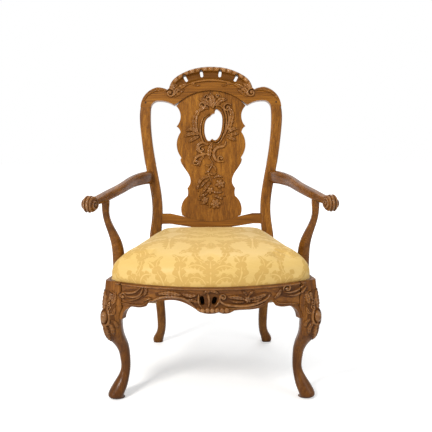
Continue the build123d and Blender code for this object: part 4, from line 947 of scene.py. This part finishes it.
# %% Patterns of the knee and its collar
knee = Pattern((-44, 176), (44, 326))
knee.ground([(0, 318), (0, 280), (2, 210)], 66)
knee.boss((0, 280), 12, 19, 7)
oval = [(18 * math.sin(a), 280 + 26 * math.cos(a)) for a in np.linspace(0.35, 2 * math.pi - 0.35, 16)]
knee.ridge(oval, 7, 5, (0.8, 0.8), 0.25)
each(knee.curl, ((-9, 309), 8, 250, -1.1, 5, 5), ((9, 309), 8, -70, 1.1, 5, 5))
knee.leaf([(0, 258), (1, 232), (3, 196)], 26, 5.5, 6)
for hand in (-1, 1):
    knee.leaf([(hand * 14, 262), (hand * 22, 246), (hand * 22, 222)], 14, 5, 4)
    knee.leaf([(hand * 20, 290), (hand * 30, 296), (hand * 34, 312)], 13, 4.5, 3)
    knee.leaf([(hand * 24, 272), (hand * 33, 262), (hand * 36, 244)], 11, 4.5, 3)
collar = Pattern((-18, 286), (88, 360))
collar.ground([(34, 352), (34, 324), (34, 292)], 96, 0.5)
each(collar.leaf, ([(35, 354), (37, 326), (40, 298)], 30, 4.0, 5),
     ([(14, 330), (6, 344), (8, 356)], 15, 3.5, 3), ([(60, 330), (68, 344), (66, 356)], 15, 3.5, 3))
each(collar.curl, ((14, 322), 9, 90, -1.2, 5, 3.5), ((60, 322), 9, 90, 1.2, 5, 3.5))
print("cells raised on a knee and a collar:", int((knee.height > 0).sum()), int((collar.height > 0).sum()))

# %% The knees' carving
KNEE_TURN = math.radians(24)
KNEE_X, KNEE_Y, KNEE_AWAY = 312.0, 18.0, 0.09
COLLAR_X, COLLAR_Y, COLLAR_AWAY = 298.0, 30.0, 0.1
COLLAR_RADIUS = 45.0
for hand, side in HANDS:
    leg = surface_of(f"front_leg_{side}")
    outward = np.array([hand * math.sin(KNEE_TURN), -math.cos(KNEE_TURN), 0])
    across = np.array([math.cos(KNEE_TURN), hand * math.sin(KNEE_TURN), 0])
    knee_rays = flat_rays(knee, metres(hand * KNEE_X, KNEE_Y, 0.0), across, UP, outward, KNEE_AWAY)
    lay_carving(f"knee_carving_{side}", knee, leg, knee_rays, relief_brown[2])
    corner = metres(hand * COLLAR_X, COLLAR_Y, 0.0)
    turn = collar.x / COLLAR_RADIUS
    collar_rays = round_rays(turn, collar.y, corner, UP, FORWARD, hand * ACROSS, COLLAR_AWAY)
    lay_carving(f"knee_collar_{side}", collar, leg, collar_rays, relief_brown[2], bridge=16)

# %% [markdown]
# ## The arms' knuckles
# Each arm ends in a scroll that the hand rests on. Its rim carries rounded rolls between grooves, and each
# end of the scroll a volute. The rolls' pattern is drawn across the rim in millimetres and round it in
# degrees.

# %% The knuckles' carving
KNUCKLE_LONG = 0.046
KNUCKLE_TURN = math.radians(20)
KNUCKLE_AWAY = 0.05
rolls = Pattern((-20, -82), (20, 150))
for across, width in ((-11, 8), (0, 11), (11, 8)):
    rolls.ridge([(across, -76), (across, 30), (across, 144)], width, 2.6, (0.6, 0.6))


def knuckle_middle(side):
    """The middle of a knuckle, measured on the arm's front end."""
    points = np.array([v.co for v in nodes[f"arm_{side}"].data.vertices])
    front = points[points[:, 1] < points[:, 1].min() + KNUCKLE_LONG]
    return (front.min(0) + front.max(0)) / 2


for hand, side in HANDS:
    middle = knuckle_middle(side)
    axis = np.array([hand * math.cos(KNUCKLE_TURN), math.sin(KNUCKLE_TURN), 0])
    ahead = np.array([hand * math.sin(KNUCKLE_TURN), -math.cos(KNUCKLE_TURN), 0])
    arm = surface_of(f"arm_{side}")
    roll_rays = round_rays(np.radians(rolls.y), rolls.x, middle, axis, ahead, UP, KNUCKLE_AWAY)
    lay_carving(f"knuckle_rolls_{side}", rolls, arm, roll_rays, relief_brown[1])
    for end, name in ((1, "outer"), (-1, "inner")):
        volute = Pattern((-24, -24), (24, 24), 0.8)
        volute.curl((0, 0), 15, 120, end * hand * 1.6, 6.5, 3)
        volute_rays = flat_rays(volute, middle, ahead, UP, end * axis, KNUCKLE_AWAY)
        lay_carving(f"knuckle_volute_{name}_{side}", volute, arm, volute_rays, relief_brown[1])

# %% [markdown]
# ## Damask
# Damask is woven in one colour: the figure shows because its threads lie the other way and catch the light
# differently. So the finish needs two things, a mirrored figure of leaves, and a change of gloss and of
# bump between figure and ground. Each leaf is drawn along an arc, with lobes cut into its edge and a vein
# left open in its middle. The table lists one half of a repeat in millimetres; the weave mirrors it from
# side to side and repeats it along the warp, as the loom does. The cloth's own coordinates are in metres.

# %% The leaves of one repeat
HALF_REPEAT = 150.0
REPEAT = 420.0
# middle of the arc across and along, radius, first angle, sweep, width of the leaf, lobes
LEAVES = [
    (10, 10, 104, -92, 140, 56, 9), (112, 152, 66, 232, -150, 44, 6), (-400, 14, 400, -10, 21, 58, 7),
    (54, -4, 46, 185, -130, 40, 5), (62, -52, 50, 170, -140, 34, 5), (44, -112, 36, 160, 170, 34, 4),
    (-250, 206, 400, -9, 18, 52, 6), (98, 196, 42, -5, 130, 38, 5), (100, 246, 46, 15, 150, 36, 5),
    (112, -146, 36, 40, 180, 34, 5), (34, 132, 32, -70, 250, 32, 5), (30, 176, 46, 130, 120, 30, 4),
    (150, 60, 40, 110, 140, 26, 4), (-400, 166, 400, -4, 8, 30, 4), (76, 88, 34, 20, 150, 30, 5),
    (120, 20, 44, 200, 130, 30, 5), (58, -176, 40, 200, 150, 32, 5), (16, 96, 40, -80, 120, 26, 4),
]


def woven_leaf(x, y, cx, cy, radius, start, sweep, width, lobes):
    """1 inside a lobed leaf along an arc, 0 outside and in its veins."""
    dx = x - cx
    dy = y.math("WRAP", y - cy, REPEAT / 2, -REPEAT / 2)
    ring = (dx * dx + dy * dy) ** 0.5
    angle = (dy.math("ARCTAN2", dy, dx) - math.radians(start)) * math.copysign(1, sweep)
    share = angle.math("WRAP", angle, 2 * math.pi, 0.0) / math.radians(abs(sweep))
    share = share.math("MINIMUM", share, 1.0)
    side = abs(ring - radius)
    bow = share * math.pi
    half = bow.math("SINE", bow) ** 0.55 * (width / 2)
    lobe = bow * lobes - side * (2.2 / width)
    edge = half * (abs(lobe.math("COSINE", lobe)) * 0.34 + 0.66)
    flute = bow * lobes - side * (4.5 / width)
    cut = abs(flute.math("COSINE", flute)).ramp(0.14, 0.3)
    cut = cut.math("MAXIMUM", cut, (half * 0.35 - side).ramp(-1.0, 1.0))
    return (edge - side).ramp(-0.7, 0.7) * (side - 0.05 * width).ramp(-0.6, 0.8) * cut


print("leaves in half a repeat:", len(LEAVES))

# %% The damask finish
LOOM_SCALE = 1150.0
FIGURE_START = 60.0


def damask_figure(cloth, spread):
    """1 on the woven figure; a slow drift keeps the threads from running dead straight."""
    drift = cloth.noise(spread, 8.0, 2.0) - 0.5
    weft = cloth.add("ShaderNodeSeparateXYZ", None, {"Vector": spread}, out="X")
    x = weft.math("PINGPONG", weft * LOOM_SCALE + drift * 14.0, HALF_REPEAT)
    y = weft.beside("Y") * LOOM_SCALE + drift * 18.0 - FIGURE_START
    figure = woven_leaf(x, y, *LEAVES[0])
    for row in LEAVES[1:]:
        figure = figure.math("MAXIMUM", figure, woven_leaf(x, y, *row))
    return figure


def damask_finish():
    """Golden silk: satin ground, sateen figure, slubs, slow fading and a puckered surface."""
    cloth = Finish("golden_damask")
    spread = cloth.place("UV")
    figure = damask_figure(cloth, spread)
    satin = cloth.noise(cloth.scaled(spread, (2200, 500, 1)), 1.0, 1.0)
    sateen = cloth.noise(cloth.scaled(spread, (500, 2200, 1)), 1.0, 1.0)
    weave = satin * (1 - figure) + sateen * figure
    slub = cloth.noise(cloth.scaled(spread, (14, 160, 1)), 1.0, 3.0)
    fade = cloth.noise(spread, 5.0, 3.0)
    tone = fade * 0.5 + slub * 0.4
    ground = cloth.mix(tone, (0.64, 0.415, 0.115), (0.80, 0.575, 0.20))
    raised = cloth.mix(tone, (0.49, 0.285, 0.060), (0.63, 0.40, 0.105))
    colour = cloth.mix(figure * (0.55 + fade * 0.45), ground, raised)
    pucker = cloth.noise(spread, 22.0, 3.0)
    cloth.surface(
        Base_Color=cloth.mix(weave * 0.4, colour, (0.43, 0.255, 0.06)),
        Roughness=0.42 + figure * 0.2 + weave * 0.12,
        Normal=cloth.bump(weave * 0.5 + figure * 0.6 + pucker * 1.4, 0.4, 0.0006),
    )
    cloth.surface(Sheen_Weight=0.2, Sheen_Roughness=0.4, Sheen_Tint=(1.0, 0.86, 0.55))
    cloth.surface(Specular_IOR_Level=0.4)
    return cloth.material


damask = damask_finish()
print("damask nodes:", len(damask.node_tree.nodes))

# %% [markdown]
# ## The seat's plan
# The loose seat fills the rebate between the four rails: a bowed front, two straight sides that close in
# towards the back, and a straight rear edge. One function gives the distance from the seat's middle to that
# outline in any direction, with the corners rounded. Every layer of the seat is laid out with it.

# %% Outline of the seat in any direction
SEAT_MIDDLE = (SEAT_DEPTH - FRONT_BOW) / 2 + 20
SIDE_SLOPE = (FRONT_HALF - REAR_HALF) / (SEAT_DEPTH - CORNER_BACK)
SEAT_EDGE = 9.6
REAR_GAP = 1.6
CORNER_POWER = 26.0


def half_width(y):
    """From the middle line to the outer face of the side rail."""
    return FRONT_HALF - (y - CORNER_BACK) * SIDE_SLOPE


def seat_reach(angle, inset=0.0):
    """Millimetres from the seat's middle to its rounded outline, in a direction."""
    c, s = np.cos(angle), np.sin(angle)
    edge = SEAT_EDGE + inset
    side = half_width(SEAT_MIDDLE) - edge * math.hypot(1, SIDE_SLOPE)
    side = side / np.maximum(np.abs(c) + s * SIDE_SLOPE, 1e-3)
    rear = (SEAT_DEPTH - REAR_GAP - inset - SEAT_MIDDLE) / np.maximum(s, 1e-3)
    lift = BOW_CENTRE - SEAT_MIDDLE
    front = lift * s + np.sqrt(np.maximum((lift * s) ** 2 - lift**2 + (BOW_RADIUS - edge) ** 2, 1))
    return sum(length**-CORNER_POWER for length in (side, rear, front)) ** (-1 / CORNER_POWER)


def seat_grid(count):
    """A square net of directions and shares: how a piece of cloth lies over the seat."""
    step = np.linspace(-1, 1, count + 1)
    a, b = np.meshgrid(step, step)
    return np.arctan2(b, a), np.maximum(np.abs(a), np.abs(b))


print("seat half width", round(float(seat_reach(np.array(0.0))), 1), "mm")

# %% [markdown]
# ## The stuffed seat
# The seat is a loose frame with webbing, hessian and curled hair, pulled into a dome by the damask. A
# crowned profile, carried round the outline, gives the form; a short cloth simulation with a little air
# pressure then lets the cover swell and settle between its fixed edges, which takes the stiffness out of
# the shape.

# %% The crowned form
SEAT_TOP = 391.8
CROWN = 102.0
FULLNESS = 2 / 2.6
OVERHANG = 0.07
COUNT = 72
angle, share = (part.ravel() for part in seat_grid(COUNT))
heading = np.stack([np.cos(angle), np.sin(angle)], -1)
bend = np.radians(np.linspace(90, 0, 60))
profile_out = np.cos(bend) ** FULLNESS * (1 + OVERHANG * np.sin(2 * bend) * np.cos(bend))
profile_up = CROWN * np.sin(bend) ** FULLNESS
reach = seat_reach(angle)
run = np.hypot(np.diff(profile_out)[None] * reach[:, None], np.diff(profile_up)[None])
length = np.concatenate([np.zeros((len(reach), 1)), np.cumsum(run, 1)], 1)
along = share * length[:, -1]
out = np.array([np.interp(s, row, profile_out) for s, row in zip(along, length)])
rise = np.array([np.interp(s, row, profile_up) for s, row in zip(along, length)])
dome_x, dome_y = ((out * reach)[:, None] * heading).T
dome_y = np.minimum(SEAT_MIDDLE + dome_y, SEAT_DEPTH - REAR_GAP)
dome = metres(dome_x, dome_y, SEAT_TOP + rise)
print("dome:", len(dome), "points, crown", round(float(rise.max()), 1), "mm")

# %% The pad's mesh
BORDER_Z = 382.0
seat_low = 1000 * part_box("seat_cover")[0].z
net = np.arange((COUNT + 1) ** 2).reshape(COUNT + 1, COUNT + 1)
rim = np.concatenate([net[0, :-1], net[:-1, -1], net[-1, :0:-1], net[:0:-1, 0]])
verts, uv = [dome], [along[:, None] * heading / 1000]
faces, last = [tuple(f) for f in net_faces(COUNT, COUNT)], rim
for drop, inset in ((BORDER_Z, 0.0), (seat_low + 1.5, 0.0), (seat_low, 1.0)):
    ring = np.arange(len(rim)) + sum(len(part) for part in verts)
    ring_x, ring_y = (seat_reach(angle[rim], inset)[:, None] * heading[rim]).T
    verts.append(metres(ring_x, SEAT_MIDDLE + ring_y, np.full(len(rim), drop)))
    uv.append((along[rim] + SEAT_TOP - drop)[:, None] / 1000 * heading[rim])
    faces += list(zip(last, ring, np.roll(ring, -1), np.roll(last, -1)))
    last = ring
faces.append(tuple(last))
verts, uv = np.vstack(verts), np.vstack(uv)
seat_pad = new_mesh("seat_pad", verts, faces)
layer = seat_pad.data.uv_layers.new(name="warp_and_weft")
loop_points = np.zeros(len(seat_pad.data.loops), np.int64)
seat_pad.data.loops.foreach_get("vertex_index", loop_points)
layer.data.foreach_set("uv", uv[loop_points].ravel())
print("seat pad:", len(verts), "points")

# %% Swell the cover with a short cloth simulation
STEPS = 20
TACKED_BELOW = 0.3935
SWELL_CAP = 0.006
REAR_CLEAR = 0.8


def settle(piece, fixed, cap):
    """Cloth with air pressure and no gravity; no point moves further than the cap, in metres."""
    rest = np.zeros(len(piece.data.vertices) * 3)
    piece.data.vertices.foreach_get("co", rest)
    group = piece.vertex_groups.new(name="tacked_edge")
    group.add([int(i) for i in np.nonzero(fixed)[0]], 1.0, "REPLACE")
    cloth = piece.modifiers.new("cover", "CLOTH")
    cloth.settings.quality = 4
    cloth.settings.tension_stiffness = 18
    cloth.settings.compression_stiffness = 18
    cloth.settings.bending_stiffness = 2.0
    cloth.settings.use_pressure = True
    cloth.settings.uniform_pressure_force = 4.0
    cloth.settings.vertex_group_mass = "tacked_edge"
    cloth.settings.effector_weights.gravity = 0
    cloth.collision_settings.use_self_collision = False
    for step in range(1, STEPS + 1):
        bpy.context.scene.frame_set(step)
    ready = piece.evaluated_get(bpy.context.evaluated_depsgraph_get())
    moved = np.zeros_like(rest)
    ready.data.vertices.foreach_get("co", moved)
    piece.modifiers.remove(cloth)
    bpy.context.scene.frame_set(1)
    shift = (moved - rest).reshape(-1, 3)
    far = np.linalg.norm(shift, axis=1, keepdims=True)
    settled = rest.reshape(-1, 3) + shift * np.minimum(1, cap / np.maximum(far, 1e-9))
    settled[:, 1] = np.minimum(settled[:, 1], (SEAT_DEPTH - REAR_CLEAR - MIDDLE_Y) / 1000)
    piece.data.vertices.foreach_set("co", settled.ravel())
    piece.data.update()
    print("cover settled, largest move", round(1000 * float(far.max()), 1), "mm, kept", 1000 * cap)


settle(seat_pad, verts[:, 2] < TACKED_BELOW, SWELL_CAP)
rounder = seat_pad.modifiers.new("rounder", "SUBSURF")
rounder.levels = rounder.render_levels = 1
seat_pad.data.materials.append(damask)
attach(seat_pad, "lift_out_seat")
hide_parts("seat_cover", "seat_stuffing")

# %% [markdown]
# ## Under the cover
# The layers below are hidden until the seat is lifted out and turned over, but they are there: jute straps
# woven over and under each other, hessian over the straps, and a thin cotton dust cloth below. Each is a
# sheet of a known size with its own weave.

# %% Plain weaves
def weave_finish(name, dark, light, pitch):
    """A plain weave: two crossed sets of threads of a given pitch in metres."""
    cloth = Finish(name)
    place = cloth.place()
    wobble = cloth.noise(place, 60.0, 3.0)
    weft = cloth.add("ShaderNodeSeparateXYZ", None, {"Vector": place}, out="X")
    turns = 2 * math.pi / pitch
    first = weft * turns + wobble * 2.0
    second = weft.beside("Y") * turns + wobble * 2.0
    over = first.math("SINE", first) * second.math("SINE", second)
    fuzz = cloth.noise(place, 900.0, 3.0)
    tone = over * 0.3 + fuzz * 0.5 + wobble * 0.3
    cloth.surface(
        Base_Color=cloth.mix(tone.ramp(0.0, 0.8), dark, light),
        Roughness=0.82 + fuzz * 0.15,
        Normal=cloth.bump(over + fuzz, 0.5, 0.0006),
    )
    cloth.surface(Sheen_Weight=0.15, Specular_IOR_Level=0.2)
    return cloth.material


jute = weave_finish("jute_strap", (0.16, 0.10, 0.05), (0.36, 0.25, 0.13), 0.0024)
hessian = weave_finish("coarse_hessian", (0.20, 0.14, 0.07), (0.42, 0.31, 0.18), 0.0018)
cotton = weave_finish("dust_cotton", (0.012, 0.012, 0.012), (0.045, 0.042, 0.04), 0.0009)
print("weaves:", jute.name, hessian.name, cotton.name)

# %% Hessian and dust cloth
LAYER_COUNT = 28


def thicken(piece, name, thickness):
    """Gives a sheet its thickness, in metres, half to each side."""
    body = piece.modifiers.new(name, "SOLIDIFY")
    body.thickness = thickness
    body.offset = 0.0


def layer_sheet(name, node, inset, sag, finish):
    """A cloth cut to the seat's outline, at the height of its solid, sagging a little in the middle."""
    low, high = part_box(node)
    angle, share = seat_grid(LAYER_COUNT)
    r = share * seat_reach(angle, inset)
    height = 500 * (low.z + high.z) - sag * (1 - share**2)
    points = metres(r * np.cos(angle), SEAT_MIDDLE + r * np.sin(angle), height).reshape(-1, 3)
    faces = net_faces(LAYER_COUNT, LAYER_COUNT)
    piece = new_mesh(name, points, faces)
    thicken(piece, "cloth_thickness", 0.0007)
    piece.data.materials.append(finish)
    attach(piece, "lift_out_seat")
    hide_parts(node)


layer_sheet("hessian_sheet", "seat_hessian", 10.0, 0.0, hessian)
layer_sheet("dust_cloth_sheet", "seat_dust_cloth", 40.0, 1.5, cotton)

# %% One strap of webbing
WEB_WIDE = 50.0
WEB_HALF_THICK = 0.7
HOLD, SLANT = 46, 16
LANES, RUNGS = 8, 89


def web_strap(name, node, start, end, crossings, first, place):
    """One strap from start to end that goes over and under the crossing straps in turn."""
    low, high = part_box(node)
    middle, wave = 500 * (low.z + high.z), 500 * (high.z - low.z) - WEB_HALF_THICK
    along = np.linspace(start, end, RUNGS + 1)
    crossings = np.array(crossings)
    nearest = np.abs(along[:, None] - crossings[None]).argmin(1)
    beside = np.abs(along - crossings[nearest])
    height = middle + wave * first * (-1.0) ** nearest * np.clip((HOLD - beside) / SLANT, 0, 1)
    a, b = np.meshgrid(along, np.linspace(-WEB_WIDE / 2, WEB_WIDE / 2, LANES + 1))
    points = place(a, b, np.broadcast_to(height, a.shape)).reshape(-1, 3)
    strap = new_mesh(name, points, net_faces(LANES, RUNGS))
    thicken(strap, "strap_thickness", 0.0012)
    strap.data.materials.append(jute)
    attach(strap, "lift_out_seat")
    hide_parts(node)
    flat = (WEB_WIDE / 1000, (end - start) / 1000)
    print(name, round(end - start), "mm long")


# %% Woven webbing
SPACING_X, SPACING_Y = 78, 92
WEB_X = [(i - 1.5) * SPACING_X for i in range(4)]
WEB_Y = [SEAT_MIDDLE + (i - 1.5) * SPACING_Y for i in range(4)]
FRONT_GRIP, REAR_GRIP, SIDE_GRIP = 26.0, 18.0, 25.0
for i, x in enumerate(WEB_X):
    front = float(bow_y(abs(x) + WEB_WIDE / 2)) + FRONT_GRIP
    web_strap(f"web_long_{i + 1}", "seat_webbing_long", front, SEAT_DEPTH - REAR_GRIP, WEB_Y,
              (-1) ** i, lambda a, b, z, x=x: metres(x + b, a, z))
for i, y in enumerate(WEB_Y):
    half = half_width(y + WEB_WIDE / 2) - SIDE_GRIP
    web_strap(f"web_cross_{i + 1}", "seat_webbing_cross", -half, half, WEB_X,
              -((-1) ** i), lambda a, b, z, y=y: metres(a, y + b, z))
print("straps:", len(WEB_X) + len(WEB_Y))
